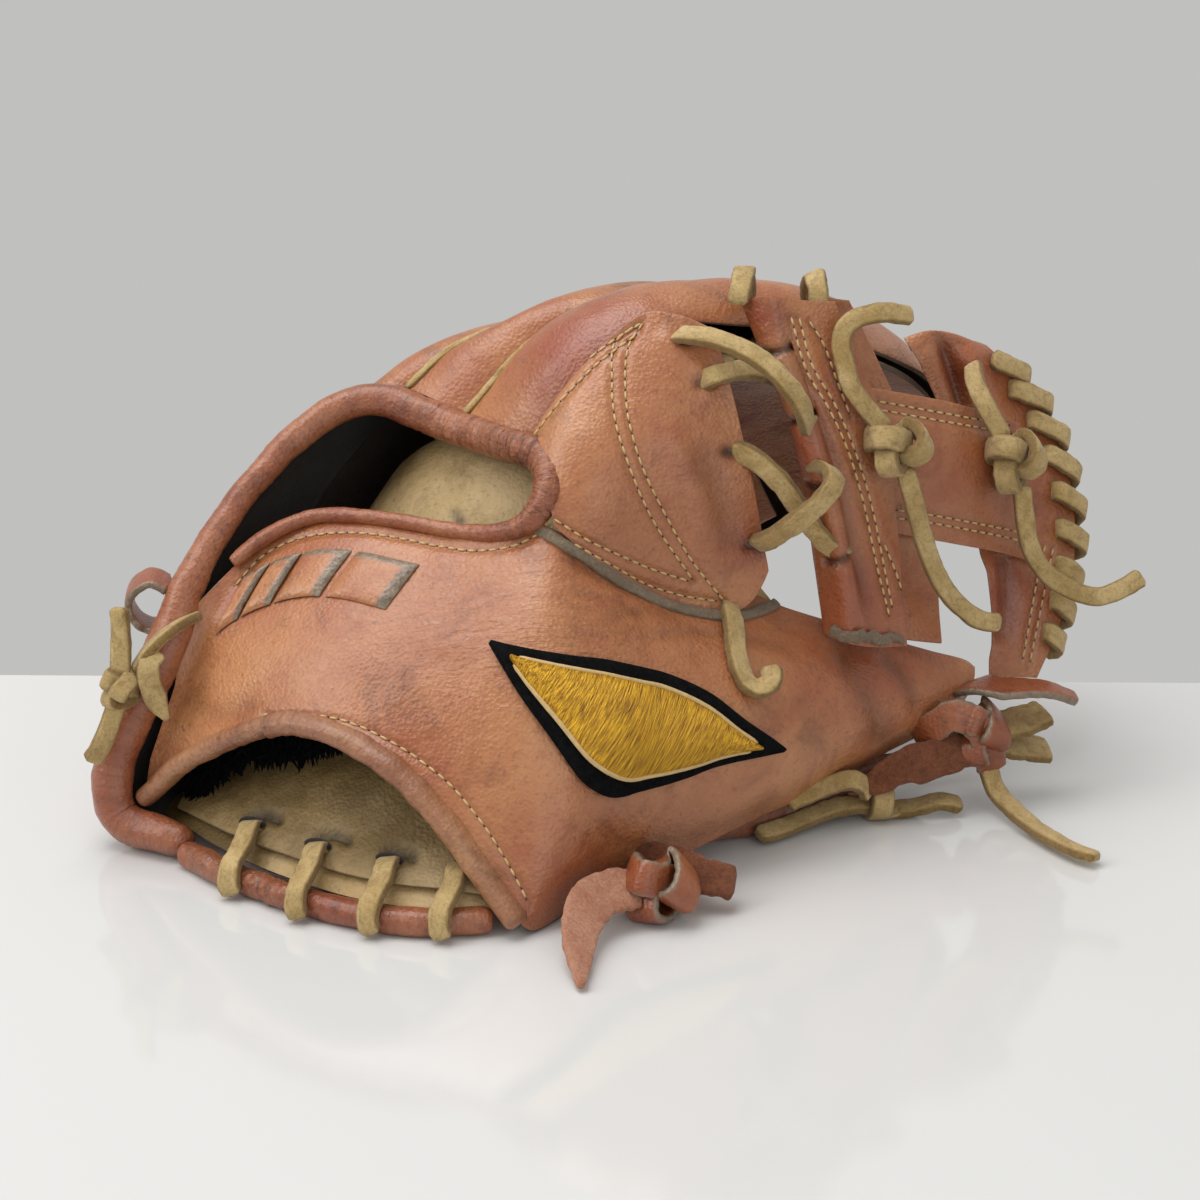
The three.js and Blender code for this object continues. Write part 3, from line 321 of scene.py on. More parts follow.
def panel(node, skin, cells, thick, finishes, lift=0.0, span=((0, 1), (0, 1)), keep=None, waves=0.35, edge=0.45,
          raw=None, slot=None):
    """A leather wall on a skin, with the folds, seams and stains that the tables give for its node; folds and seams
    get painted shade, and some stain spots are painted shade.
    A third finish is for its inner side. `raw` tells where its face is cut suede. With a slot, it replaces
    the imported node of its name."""
    bm = sheet_grid(*cells)
    (u0, u1), (v0, v1) = span
    flat = np.array([v.co[:] for v in bm.verts])
    u, v = u0 + flat[:, 0] * (u1 - u0), v0 + flat[:, 1] * (v1 - v0)
    if keep:
        bm.faces.ensure_lookup_table()
        centres = np.array([f.calc_center_median()[:] for f in bm.faces])
        inside = keep(u0 + centres[:, 0] * (u1 - u0), v0 + centres[:, 1] * (v1 - v0))
        dropped = [face for face, kept in zip(bm.faces, inside) if not kept]
    at, out = skin(u, v), normals(skin, u, v)
    places = photo(at + out * lift)
    facing = np.clip(-(out @ FORWARD) * 4 + 0.6, 0, 1)
    height, crease_shade = np.full(len(at), lift, float), np.zeros(len(at))
    seams = [(*SEAM_GROOVE, row) for row in STITCHES.get(node, ())]
    for wide, deep, dark, ends, path in [*FOLDS.get(node, ()), *seams]:
        press = near_line(places, path, wide, ends) * facing
        height -= press * deep
        # A fold's or a seam's darkness goes into the crease mark: painted shade.
        crease_shade += press * dark
    # Stain spots: reddish stains, and on palm_lining and palm_shell painted shade.
    red = near_spots(places, STAINS_AND_SHADE.get(node, ())) * facing
    fine = near_spots(places, WRINKLES.get(node, ()))
    height += sum(ripple(at + shift, size, waves * share) for size, share, shift in WAVES)
    at = at + out * height[:, None]
    for vertex, place in zip(bm.verts, metres(at)):
        vertex.co = place
    if keep:
        bmesh.ops.delete(bm, geom=dropped, context="FACES")
    bm.normal_update()
    bm.faces.ensure_lookup_table()
    middle = bm.faces[len(bm.faces) // 2]
    corner = middle.verts[0].index
    if middle.normal.dot(Vector(out[corner])) < 0:
        bmesh.ops.reverse_faces(bm, faces=bm.faces)
    bare = raw(u, v) if raw else np.zeros(len(at))
    paint(bm, {"crease_shade": crease_shade, "red": red, "fine": fine, "raw": bare})
    PANELS[node] = BVHTree.FromBMesh(bm)
    piece = finished(f"{node}_skin", bm, finishes)
    wall = piece.modifiers.new("wall", "SOLIDIFY")
    wall.thickness = thick * MM
    wall.offset = -1
    wall.thickness_clamp = 1
    wall.material_offset_rim = 1
    wall.material_offset = 2 if len(finishes) > 2 else 0
    bevel = piece.modifiers.new("edge", "BEVEL")
    bevel.width = edge * MM
    bevel.segments = 2
    bevel.limit_method = "ANGLE"
    bevel.angle_limit = EDGE_ANGLE
    if slot:
        stands_for(node, slot)
    return piece


def frames(route, count, flat, faces=None):
    """Places along a route, with the way to the side and the way that it faces, and the route's length."""
    dense = curve(route, np.linspace(0, 1, 40 * len(route)))
    run = way_gone(dense)
    share = np.interp(np.linspace(0, run[-1], count + 1), run, np.linspace(0, 1, len(dense)))
    line = curve(route, share)
    ahead = unit(np.gradient(line, axis=0))
    face = np.zeros_like(line)
    now = np.array(flat, float)
    for i in range(count + 1):
        if faces is not None:
            now = curve(faces, share[i])[0]
        now = unit(now - ahead[i] * (now @ ahead[i]))
        face[i] = now
    side = np.cross(ahead, face)
    return line, side, face, run[-1]


def sweep(name, route, wide, thick, finishes, flat=(0, 0, 1), faces=None, around=16, step=1.3, square=3.2,
          taper=None, grow=None, rough=0.12, twist=0.0, shaped=None, ringed=None):
    """A lace, roll or tie along a route. `square` 2 is round, and more is flatter with tighter corners.
    `taper` narrows it at shares of its length, and `grow` has its share of the size at each route point.
    `ringed` is the share of the length where fine rings are strongest, and how far they reach."""
    stops = way_gone(route)
    count = max(6, math.ceil(stops[-1] / step))
    line, side, face, length = frames(route, count, flat, faces)
    bm = sheet_grid(around, count)
    turn, station = np.array([v.co[:2] for v in bm.verts]).T
    s = np.rint(station * count).astype(int)
    angle = 2 * np.pi * turn
    c, d = np.cos(angle), np.sin(angle)
    across, up = np.sign(c) * np.abs(c) ** (2 / square), np.sign(d) * np.abs(d) ** (2 / square)
    narrow = np.interp(station, *np.array(taper, float).T) if taper else np.ones(len(s))
    swell = np.interp(station, stops / stops[-1], grow) if grow else np.ones(len(s))
    ends = np.minimum(station, 1 - station) * length
    blunt = 1 - BLUNT["cut"] * np.clip(1 - ends / (BLUNT["reach"] * thick), 0, 1) ** 2
    swing = (twist * station)[:, None]
    side, face = (side[s] * np.cos(swing) + face[s] * np.sin(swing),
                  face[s] * np.cos(swing) - side[s] * np.sin(swing))
    seed = sum(map(ord, name)) % 97
    middle = line[s]
    out = side * (across * wide / 2 * narrow)[:, None] + face * (up * thick / 2)[:, None]
    out *= (swell * blunt)[:, None]
    uneven = 1 + ripple(middle + unit(out) * 2 + seed, 2.4, rough) + ripple(middle + seed, 7, rough * 0.8)
    at = middle + out * uneven[:, None]
    if shaped:
        at = at + shaped(at, unit(out), station)
    for vertex, place in zip(bm.verts, metres(at)):
        vertex.co = place
    broad = np.clip((np.abs(up) - np.abs(across)) * 3 + 0.9, 0, 1)
    rings = np.exp(-((station - ringed[0]) / ringed[1]) ** 2) if ringed else np.zeros(len(s))
    paint(bm, {"broad": broad, "fine": rings})
    uv = bm.loops.layers.uv["UVMap"]
    around_length = 2 * (wide + thick)
    for corner_face in bm.faces:
        for loop in corner_face.loops:
            loop[uv].uv = (loop[uv].uv.x * around_length * MM, loop[uv].uv.y * length * MM)
    bmesh.ops.remove_doubles(bm, verts=bm.verts, dist=1e-7)
    bmesh.ops.holes_fill(bm, edges=[e for e in bm.edges if e.is_boundary], sides=0)
    bmesh.ops.recalc_face_normals(bm, faces=bm.faces)
    return finished(name, bm, finishes)


# Finishes. Noise reads Object coordinates, so that a pattern keeps its size on every piece.
class Finish:
    """A material built node by node."""

    def __init__(self, name):
        self.material = bpy.data.materials.new(name)
        self.material.use_nodes = True
        self.tree = self.material.node_tree
        self.surface = self.tree.nodes["Principled BSDF"]
        coordinates = self.add("ShaderNodeTexCoord").outputs
        self.place, self.around = coordinates["Object"], coordinates["UV"]

    def add(self, kind, inputs=None, **settings):
        made = self.tree.nodes.new(kind)
        for key, value in settings.items():
            setattr(made, key, value)
        for key, value in (inputs or {}).items():
            self.plug(value, made.inputs[key])
        return made

    def plug(self, value, socket):
        if isinstance(value, bpy.types.NodeSocket):
            self.tree.links.new(value, socket)
        else:
            socket.default_value = value

    def noise(self, scale, detail=3.0, rough=0.55, distort=0.0, vector=None):
        inputs = {"Vector": vector or self.place, "Scale": scale, "Detail": detail, "Roughness": rough,
                  "Distortion": distort}
        return self.add("ShaderNodeTexNoise", inputs).outputs["Fac"]

    def cells(self, scale):
        inputs = {"Vector": self.place, "Scale": scale}
        return self.add("ShaderNodeTexVoronoi", inputs).outputs["Distance"]

    def stretched(self, scale, turn=0.0, vector=None):
        """Coordinates turned about Z and then stretched by `scale`."""
        inputs = {"Vector": vector or self.place, "Scale": scale, "Rotation": (0, 0, turn)}
        return self.add("ShaderNodeMapping", inputs, vector_type="TEXTURE").outputs["Vector"]

    def remap(self, value, low, high, to_low=0.0, to_high=1.0):
        inputs = {"Value": value, "From Min": low, "From Max": high, "To Min": to_low, "To Max": to_high}
        return self.add("ShaderNodeMapRange", inputs).outputs["Result"]

    def mix(self, share, first, second):
        made = self.add("ShaderNodeMix", data_type="RGBA")
        self.plug(share, made.inputs[0])
        self.plug(first, made.inputs[6])
        self.plug(second, made.inputs[7])
        return made.outputs[2]

    def sums(self, operation, first, second):
        made = self.add("ShaderNodeMath", operation=operation)
        self.plug(first, made.inputs[0])
        self.plug(second, made.inputs[1])
        return made.outputs[0]

    def attribute(self, name):
        return self.add("ShaderNodeAttribute", attribute_name=name).outputs["Fac"]

    def bumps(self, *layers):
        """Bump layers, each a height, its depth in millimetres and its strength."""
        normal = None
        for height, depth, strength in layers:
            inputs = {"Height": height, "Distance": depth * MM, "Strength": strength}
            if normal is not None:
                inputs["Normal"] = normal
            normal = self.add("ShaderNodeBump", inputs).outputs["Normal"]
        self.plug(normal, self.surface.inputs["Normal"])

    def look(self, colour, roughness, specular=0.5, sheen=0.0):
        self.plug(colour, self.surface.inputs["Base Color"])
        self.plug(roughness, self.surface.inputs["Roughness"])
        self.surface.inputs["Specular IOR Level"].default_value = specular
        self.surface.inputs["Sheen Weight"].default_value = sheen
        return self.material


def rgb(hex_colour):
    """A colour as written on a swatch, made linear."""
    parts = [int(hex_colour[i:i + 2], 16) / 255 for i in (0, 2, 4)]
    return (*[c / 12.92 if c <= 0.04045 else ((c + 0.055) / 1.055) ** 2.4 for c in parts], 1)


def leather(name, tan, pale, red, dark, gloss=0.42, creases=1.0, rings=0.0, coat=0.35, cut=False):
    """Worn smooth leather. The mark `red` stains it (on the lining it is painted shade), the crease mark paints shade
    into creases, seams, slits and holes, `raw` cuts it and `fine` wrinkles it.
    """
    f = Finish(name)
    tan, pale, red, dark = map(rgb, (tan, pale, red, dark))
    clouds = f.noise(19, 4, 0.6, 0.4)
    mottle = f.noise(85, 5, 0.65, 0.3)
    flecks = f.noise(620, 3, 0.6)
    rubbed = f.noise(42, 6, 0.72, 0.8)
    colour = f.mix(f.remap(clouds, 0.36, 0.64), tan, pale)
    colour = f.mix(f.remap(mottle, 0.5, 0.76, 0, 0.5), colour, red)
    colour = f.mix(f.remap(rubbed, 0.53, 0.7, 0, 0.45), colour, pale)
    colour = f.mix(f.remap(rubbed, 0.46, 0.3, 0, 0.5), colour, dark)
    # The red mark stains it, and on the lining it lays the third colour as painted shade.
    colour = f.mix(f.sums("MULTIPLY", f.attribute("red"), f.remap(mottle, 0.2, 0.6, 0.6, 1)), colour, red)
    colour = f.mix(f.remap(flecks, 0.56, 0.75, 0, 0.4), colour, dark)
    scuffs = f.noise(240, 5, 0.7, 0, f.stretched((7, 1, 1), AZIMUTH + 0.2))
    colour = f.mix(f.remap(scuffs, 0.6, 0.78, 0, 0.4), colour, pale)
    # The crease mark darkens creases, seams, slits and holes towards this tone: painted shade.
    deep = (dark[0] * 0.3, dark[1] * 0.3, dark[2] * 0.3, 1)
    colour = f.mix(f.sums("MULTIPLY", f.attribute("crease_shade"), f.remap(mottle, 0.25, 0.7, 0.6, 1)), colour, deep)
    colour = f.mix(f.attribute("raw"), colour, f.mix(f.remap(flecks, 0.3, 0.7), *map(rgb, RAW)))
    if cut:
        colour = f.mix(f.attribute("broad"), f.mix(flecks, *map(rgb, RAW)), colour)
    fine = f.attribute("fine")
    lines = f.noise(430, 4, 0.6, 0.5, f.stretched((7, 1, 1), AZIMUTH))
    creased = f.noise(120, 4, 0.6, 1.4, f.stretched((3, 1, 1), AZIMUTH + 0.9))
    pores = f.cells(900)
    layers = [(mottle, 0.6, 0.5 * creases), (creased, 0.6, 0.4 * creases), (pores, 0.3, 0.7),
              (flecks, 0.15, 0.6), (f.sums("MULTIPLY", lines, f.remap(fine, 0, 1, 0.2, 1.2)), 0.9, 0.9)]
    if rings:
        ring = f.noise(420, 4, 0.65, 0.7, f.stretched((6, 1, 1), 0, f.around))
        layers.append((f.sums("MULTIPLY", ring, f.remap(fine, 0, 1, 0.35, 1.6)), rings, 1))
        # The rings' grooves are darkened: painted shade.
        colour = f.mix(f.sums("MULTIPLY", f.remap(ring, 0.5, 0.36), f.remap(fine, 0, 1, 0.2, 0.6)), colour, dark)
    f.bumps(*layers)
    f.surface.inputs["Coat Weight"].default_value = coat
    f.surface.inputs["Coat Roughness"].default_value = 0.27
    return f.look(colour, f.remap(mottle, 0.25, 0.8, gloss - 0.1, gloss + 0.16))


def suede(name, light, dark, rough=0.9, along=False):
    """The fuzzy cut side of leather, or a lace with its smooth skin on the broad faces."""
    f = Finish(name)
    light, dark = rgb(light), rgb(dark)
    fuzz = f.noise(1300, 5, 0.75)
    patches = f.noise(90, 6, 0.7, 0.5)
    colour = f.mix(f.remap(patches, 0.25, 0.75, 0.25, 1), dark, light)
    colour = f.mix(f.remap(fuzz, 0.4, 0.7, 0, 0.7), colour, dark)
    colour = f.mix(f.remap(f.noise(480, 4, 0.7), 0.5, 0.64, 0, 0.45), colour, dark)
    if along:
        skin = f.mix(f.remap(patches, 0.35, 0.65), rgb(LACE["skin"]), rgb(LACE["skin_pale"]))
        cracks = f.noise(500, 5, 0.75, 0.6, f.stretched((1, 2.5, 1), 0, f.around))
        skin = f.mix(f.remap(cracks, 0.5, 0.68, 0, 0.55), skin, dark)
        skin = f.mix(f.remap(fuzz, 0.5, 0.72, 0, 0.55), skin, dark)
        colour = f.mix(f.attribute("broad"), colour, skin)
    f.bumps((patches, 0.5, 0.4), (fuzz, 0.4, 0.9))
    return f.look(colour, rough, specular=0.25, sheen=0.15)


def thread(name, light, dark, across=0):
    """Twisted thread, or rows of satin stitch where `across` has their number along the piece."""
    f = Finish(name)
    light, dark = rgb(light), rgb(dark)
    if across:
        rows = f.add("ShaderNodeMapping", {"Vector": f.around, "Scale": (4, across, 1)}).outputs["Vector"]
        strands = f.noise(1, 3, 0.7, 0.2, rows)
        colour = f.mix(f.remap(strands, 0.35, 0.62), dark, light)
        f.bumps((strands, 0.9, 1))
        f.surface.inputs["Metallic"].default_value = 0.45
        return f.look(colour, 0.34)
    colour = f.mix(f.noise(700, 2), dark, light)
    f.bumps((f.noise(2600, 2), 0.12, 0.6))
    return f.look(colour, 0.65)


def fleece(name, light, dark):
    f = Finish(name)
    light, dark = rgb(light), rgb(dark)
    tufts = f.noise(520, 5, 0.7, 0.6)
    colour = f.mix(f.remap(tufts, 0.35, 0.7), dark, light)
    f.bumps((tufts, 1.2, 0.9), (f.noise(2400, 3), 0.4, 0.8))
    return f.look(colour, 0.95, specular=0.1)


LACE = {"skin": "aa8d57", "skin_pale": "c9ae7a"}
RAW = ("94826c", "5f5142")
# The walls' inner side is coloured dark brown as painted shade inside the glove.
SHADED_INSIDE = suede("inner side in painted shade", "4a3426", "21160f")
# Near black, as painted shade of the crevice inside the rolled edge and of the heel's lace holes.
DARKEST_SHADE = suede("darkest painted shade", "1f1611", "0d0907")
TAN = leather("tan leather", "a26039", "ba7f52", "8c3d25", "522816", 0.34)
TAN_EDGE = suede("raw edge of tan leather", *RAW)
RED = leather("red binding", "8b482d", "aa6c49", "762b1b", "3c190f", 0.38, 1.3, 1.6)
# A darker copy of the tan leather: painted shade of the thumb's underside by the table.
UNDER = leather("leather of the underside", "7a4228", "8f5435", "5a2416", "2b130b", 0.45, 1.3)
MAUVE = leather("mauve binding", "8f5b3e", "ac7a53", "7b4231", "4c2c1b", 0.46, 1.0, 0.4)
# Its third colour, a dark olive, is laid as painted shade by the stain spots of the lining and the palm's inner face,
# and as random tone by its mottle.
LINING = leather("cream lining", "b39460", "ccb081", "5f4a20", "54411f", 0.55, 0.8, coat=0)
LINING_EDGE = suede("edge of the lining", "a89068", "6e5c40")
RAWHIDE = suede("rawhide lace", "a5854e", "634c28", 0.7, along=True)
TIE_SKIN = leather("tie leather", "843e22", "9f5c38", "6d2a17", "3a180b", 0.38, cut=True)
TIE_SUEDE = suede("inner side of tie leather", "c89c7e", "94513a")
DARK_SUEDE = suede("dark tie suede", "945a3c", "4a2617")
THREAD = thread("cream thread", "dcc08a", "b8955e")
# Dark dots at the needle holes: painted shade in the holes.
HOLE = thread("needle hole", "4a2a1c", "2c180f")
FLEECE = fleece("navy fleece", "12151c", "040506")
FELT = fleece("black felt", "17171a", "060607")
GOLD = thread("gold thread", "eab322", "7c4c05", 170)
TABLE = Finish("white table").look(rgb("d8d8d7"), 0.08, specular=0.9)


# Seams, folds and stains of each leather panel, in the photograph's pixels. A fold is how wide, deep and dark it
# is, the share over which its ends fade, and its line. A seam presses the leather in as a fold does.
# The darkness of a fold or a seam is painted shade in its crease, slit or hole.
SEAM_GROOVE = (3.4, 0.7, 0.12, 0)
STITCHES = {
    "index_panel": [
        ((641, 323), (615, 342), (612, 374), (615, 419), (632, 474), (655, 524), (694, 582)),
        ((643, 323), (627, 352), (627, 409), (642, 466), (665, 514), (692, 561), (724, 601)),
        ((554, 519), (584, 538), (612, 552), (652, 569), (694, 583)),
        ((556, 533), (585, 550), (606, 562), (646, 584), (684, 596), (724, 602)),
        ((528, 430), (552, 397), (590, 358), (636, 325)),
        ((534, 436), (560, 402), (597, 364), (640, 332)),
    ],
    "thumb_back": [
        ((236, 585), (258, 560), (284, 544), (316, 535), (354, 533), (392, 537), (437, 546), (475, 551),
         (514, 546), (542, 532)),
        ((263, 715), (303, 714), (345, 721), (386, 739), (424, 763), (459, 794), (491, 836), (517, 880),
         (530, 908)),
    ],
    "web_inner_post": [
        ((791, 317), (806, 369), (829, 409), (849, 454), (864, 506), (876, 563), (889, 616)),
        ((799, 318), (812, 365), (835, 405), (856, 454), (872, 508), (883, 563), (893, 612)),
        ((809, 321), (824, 345), (838, 384), (852, 420)),
        ((884, 544), (897, 576), (908, 613)),
    ],
    "web_crossbar": [
        ((842, 397), (880, 402), (925, 410), (970, 418), (1015, 426)),
        ((842, 405), (880, 410), (925, 418), (970, 426), (1013, 434)),
        ((878, 508), (925, 514), (980, 524), (1035, 535)),
        ((878, 516), (925, 522), (980, 532), (1033, 543)),
    ],
    "web_outer_post": [
        ((1045, 545), (1035, 590), (1028, 630), (1022, 662)),
        ((1053, 548), (1044, 592), (1036, 632), (1029, 666)),
    ],
}
FOLDS = {
    "thumb_back": (
        (6, 1, 0.5, 0.15, ((556, 545), (600, 575), (655, 598), (720, 620))),
        (7, 0.5, 0.25, 0.15, ((640, 640), (690, 632), (760, 640), (800, 655))),
        (5, 0.35, 0.2, 0.15, ((600, 620), (660, 612), (720, 640))),
        (4, 0.3, 0.2, 0.15, ((560, 590), (610, 600), (650, 620))),
        (12, 1.6, 0.5, 0.15, ((835, 640), (860, 680), (880, 720), (878, 750))),
        (8, 1, 0.5, 0.15, ((880, 650), (905, 680), (920, 715))),
        (10, 0.7, 0.2, 0.15, ((800, 690), (815, 730), (806, 770))),
        (12, 1.2, 0.3, 0.15, ((620, 850), (680, 845), (740, 825), (790, 795))),
        (10, 0.6, 0.2, 0.15, ((180, 690), (215, 715), (262, 700))),
    ),
    "index_panel": (
        (10, -0.8, 0, 0.15, ((655, 330), (690, 360), (712, 400))),
        (16, 0.9, 0.35, 0.15, ((700, 440), (720, 500), (735, 560))),
        (12, -0.7, 0, 0.15, ((660, 420), (690, 470), (715, 540))),
        (7, 1.2, 1, 0, ((682, 339), (692, 338))),
        (7, 1.2, 1, 0, ((700, 384), (710, 383))),
        (7, 1.2, 1, 0, ((728, 452), (737, 453))),
        (7, 1.2, 1, 0, ((750, 547), (759, 546))),
    ),
    "web_inner_post": (
        (13, -2, 0, 0.15, ((757, 308), (775, 352), (795, 405), (818, 470), (838, 545), (856, 635))),
        (8, 2.2, 0.45, 0.15, ((776, 300), (794, 352), (815, 404), (838, 470), (855, 545), (872, 632))),
        (4.5, 1.6, 1, 0.1, ((760, 350), (778, 352), (795, 345))),
        (4.5, 1.6, 1, 0.1, ((781, 420), (800, 420), (820, 411))),
        (4.5, 1.6, 1, 0.1, ((805, 487), (822, 486), (839, 474))),
        (4.5, 1.6, 1, 0.1, ((821, 561), (840, 560), (855, 550))),
    ),
    "web_outer_post": (
        (17, -3.4, 0, 0.15, ((908, 335), (930, 380), (948, 430), (962, 480))),
        (15, -3, 0, 0.15, ((962, 345), (985, 395), (1003, 450))),
        (11, -2, 0, 0.15, ((986, 555), (990, 610), (984, 660))),
        (8, 2.8, 0.6, 0.15, ((938, 325), (952, 370), (968, 430), (984, 530))),
        (10, 1.6, 0.4, 0.15, ((1002, 545), (1008, 600), (1003, 650))),
    ),
    "palm_lining": (
        (6, 2, 1, 0, ((252, 818), (265, 816), (278, 820))),
        (6, 2, 1, 0, ((322, 837), (334, 835), (347, 840))),
        (6, 2, 1, 0, ((388, 853), (400, 852), (412, 857))),
        (6, 0, 1, 0, ((456, 515), (462, 524))),
        (3, 0.6, 0.5, 0.15, ((330, 500), (350, 465), (365, 455))),
    ),
}
# Fine wrinkles, and stains with painted shade: where they are strongest, how far they reach and how strong they are.
WRINKLES = {
    "thumb_back": [(600, 620, 90, 0.9), (500, 625, 60, 0.9), (440, 640, 50, 0.6), (740, 650, 60, 0.6),
                   (850, 700, 50, 0.7), (700, 850, 60, 0.4)],
    "index_panel": [(690, 420, 40, 0.5), (720, 520, 50, 0.6)],
    "web_inner_post": [(850, 500, 90, 0.4)],
}
STAINS_AND_SHADE = {
    "thumb_back": [(245, 590, 45, 0.6), (345, 590, 70, 0.35), (470, 590, 60, 0.25), (720, 610, 60, 0.3),
                   (870, 680, 60, 0.6), (560, 880, 70, 0.5), (700, 810, 90, 0.25), (400, 760, 60, 0.3)],
    "index_panel": [(640, 400, 40, 0.3), (700, 470, 50, 0.25), (640, 540, 50, 0.2), (745, 545, 30, 0.6)],
    "first_finger_back": [(560, 370, 60, 0.8), (620, 330, 50, 0.7)],
    "middle_finger_back": [(470, 380, 50, 0.4)],
    "web_inner_post": [(765, 320, 30, 0.9), (800, 450, 40, 0.8), (850, 600, 50, 0.7)],
    "web_crossbar": [(930, 480, 60, 0.3)],
    "web_outer_post": [(960, 370, 40, 0.7), (1000, 600, 50, 0.8)],
    # Painted shade inside the wrist opening and in the back hole's left half.
    "palm_lining": [(240, 790, 150, 0.8), (400, 800, 90, 0.5), (460, 850, 70, 0.45), (290, 480, 80, 1),
                    (250, 540, 80, 1)],
    # Painted shade inside the glove at the strap's left end and behind the web.
    "palm_shell": [(170, 815, 60, 1.5), (230, 835, 45, 1), (765, 430, 70, 1.1), (900, 370, 45, 0.8)],
}
PANELS = {}
# The third finish, on the walls' inner side, is dark as painted shade.
TAN_WALL = [TAN, TAN_EDGE, SHADED_INSIDE]

# Leather walls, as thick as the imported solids.
LEATHER = 2.2
PALM_THICK = 4.2
# The palm is open where the web is, and has slots between the fingers: its lines and rows there.
WEB_OPENING = {"from": 1, "to": 4, "row": 4}
VALLEYS = {"lines": (5, 6, 7), "row": 5, "half": 0.006}
# The lining: how thick, how far over the palm's wall, and its lines and rows.
HOLLOW = {"thick": 1.4, "clear": 2.4, "lines": (1, 7.5), "rows": (0.15, 3.5)}
# Each finger's bulge at the rows. The finger backs leave a narrow seam between them for the welts.
FINGERS = {
    "first_finger_back": (3, 7, 6, 9, 12, 12, 9, 3, 1),
    "middle_finger_back": (2, 3, 5, 8, 10, 10, 8, 3, 1),
    "ring_finger_back": (2, 4, 6, 9, 10, 11, 9, 3, 1),
    "little_finger_back": (12, 14, 15, 14, 14, 12, 8, 3, 1),
}
FINGER_SEAM = 0.008
# The strip behind the seam at the little finger's side: its share of the seam, size and place.
SEAM_STRIP = {"share": 0.75, "wide": 14, "thick": 1.6, "behind": 2.4}


def palm():
    skin = skin_through(PALM)
    lines, rows = len(PALM[0]) - 1, len(PALM) - 1

    def kept(u, v):
        in_web = (u > WEB_OPENING["from"] / lines) & (u < WEB_OPENING["to"] / lines) & (v > WEB_OPENING["row"] / rows)
        in_slot = np.zeros(len(u), bool)
        for valley in VALLEYS["lines"]:
            in_slot |= (np.abs(u - valley / lines) < VALLEYS["half"]) & (v > VALLEYS["row"] / rows)
        return ~in_web & ~in_slot
    panel("palm_shell", skin, (160, 176), PALM_THICK, [LINING, TAN_EDGE, TAN], PALM_THICK, keep=kept, waves=0.6,
          slot="tan_leather")
    span = [line / lines for line in HOLLOW["lines"]], [row / rows for row in HOLLOW["rows"]]
    panel("palm_lining", skin, (120, 70), HOLLOW["thick"], [LINING, LINING_EDGE], PALM_THICK + HOLLOW["clear"],
          span=span, waves=0.9, slot="cream_lining")


# How the index panel's corner by the thumb is rounded, and how its seam with the first finger lies down.
INDEX_CORNER = {"from": 0.8, "cut": 0.13}
INDEX_SEAM = {"from": 0.8, "down": 1.6}


def index_skin():
    flat = arch(INDEX_PANEL)

    def skin(u, v):
        late = np.clip((v - INDEX_CORNER["from"]) / (1 - INDEX_CORNER["from"]), 0, 1)
        low = INDEX_CORNER["cut"] * late ** 2.5
        u = low + (1 - low) * u
        down = np.clip((u - INDEX_SEAM["from"]) / (1 - INDEX_SEAM["from"]), 0, 1) ** 2 * (1 - v)
        return flat(u, v) - normals(flat, u, v) * (down * INDEX_SEAM["down"])[:, None]
    return skin


# Where the strap's top edge runs up under the rolled edge's turn.
STRAP_TUCK = {"at": 0.33, "reach": 0.05, "up": 0.07}
# How far the strap's low left corner comes out over the rolled edge.
STRAP_CORNER = {"out": 3.6, "along": 0.07, "low": 0.2, "high": 0.6}


def strap_skin(u, v):
    up = STRAP_TUCK["up"] * np.exp(-((v - STRAP_TUCK["at"]) / STRAP_TUCK["reach"]) ** 2)
    height = np.clip((STRAP_CORNER["high"] - u) / (STRAP_CORNER["high"] - STRAP_CORNER["low"]), 0, 1)
    corner = STRAP_CORNER["out"] * height * np.clip(1 - v / STRAP_CORNER["along"], 0, 1)
    return arch(THUMB_BACK)(u * (1 + up), v) - RIGHT * np.atleast_1d(corner)[:, None]


def backs():
    """The panels of the hand's back, each on its own arch."""
    panel("thumb_back", strap_skin, (84, 240), LEATHER, TAN_WALL, slot="tan_leather")
    panel("index_panel", index_skin(), (96, 96), LEATHER * 0.8, TAN_WALL, LEATHER, slot="tan_leather")
    side = arch(LITTLE_SIDE)
    panel("little_side_panel", side, (60, 60), LEATHER, TAN_WALL, slot="tan_leather")
    seam = side(np.linspace(0, SEAM_STRIP["share"], 9), np.zeros(9))
    behind = sweep("little_side_seam", seam + RIGHT * SEAM_STRIP["behind"], SEAM_STRIP["wide"],
                   SEAM_STRIP["thick"], [TAN], flat=-RIGHT, around=12)
    for i, (node, bulges) in enumerate(FINGERS.items()):
        rows = [(row[i], row[i + 1], bulge) for row, bulge in zip(FINGER_ROWS, bulges)]
        across = (0 if i == 0 else FINGER_SEAM, 1 if i == len(FINGERS) - 1 else 1 - FINGER_SEAM)
        panel(node, arch(rows, 0.8), (40, 120), LEATHER, TAN_WALL, span=(across, (0, 1)), waves=0.6,
              slot="tan_leather")


def web():
    for node, skin, cells in (
        ("web_inner_post", skin_through(INNER_POST), (90, 170)),
        ("web_inner_leaf", skin_through(INNER_LEAF), (14, 70)),
        ("web_outer_post", skin_through(OUTER_POST), (64, 130)),
        ("web_crossbar", arch(CROSSBAR), (48, 90)),
    ):
        panel(node, skin, cells, LEATHER, TAN_WALL[:2], slot="tan_leather")


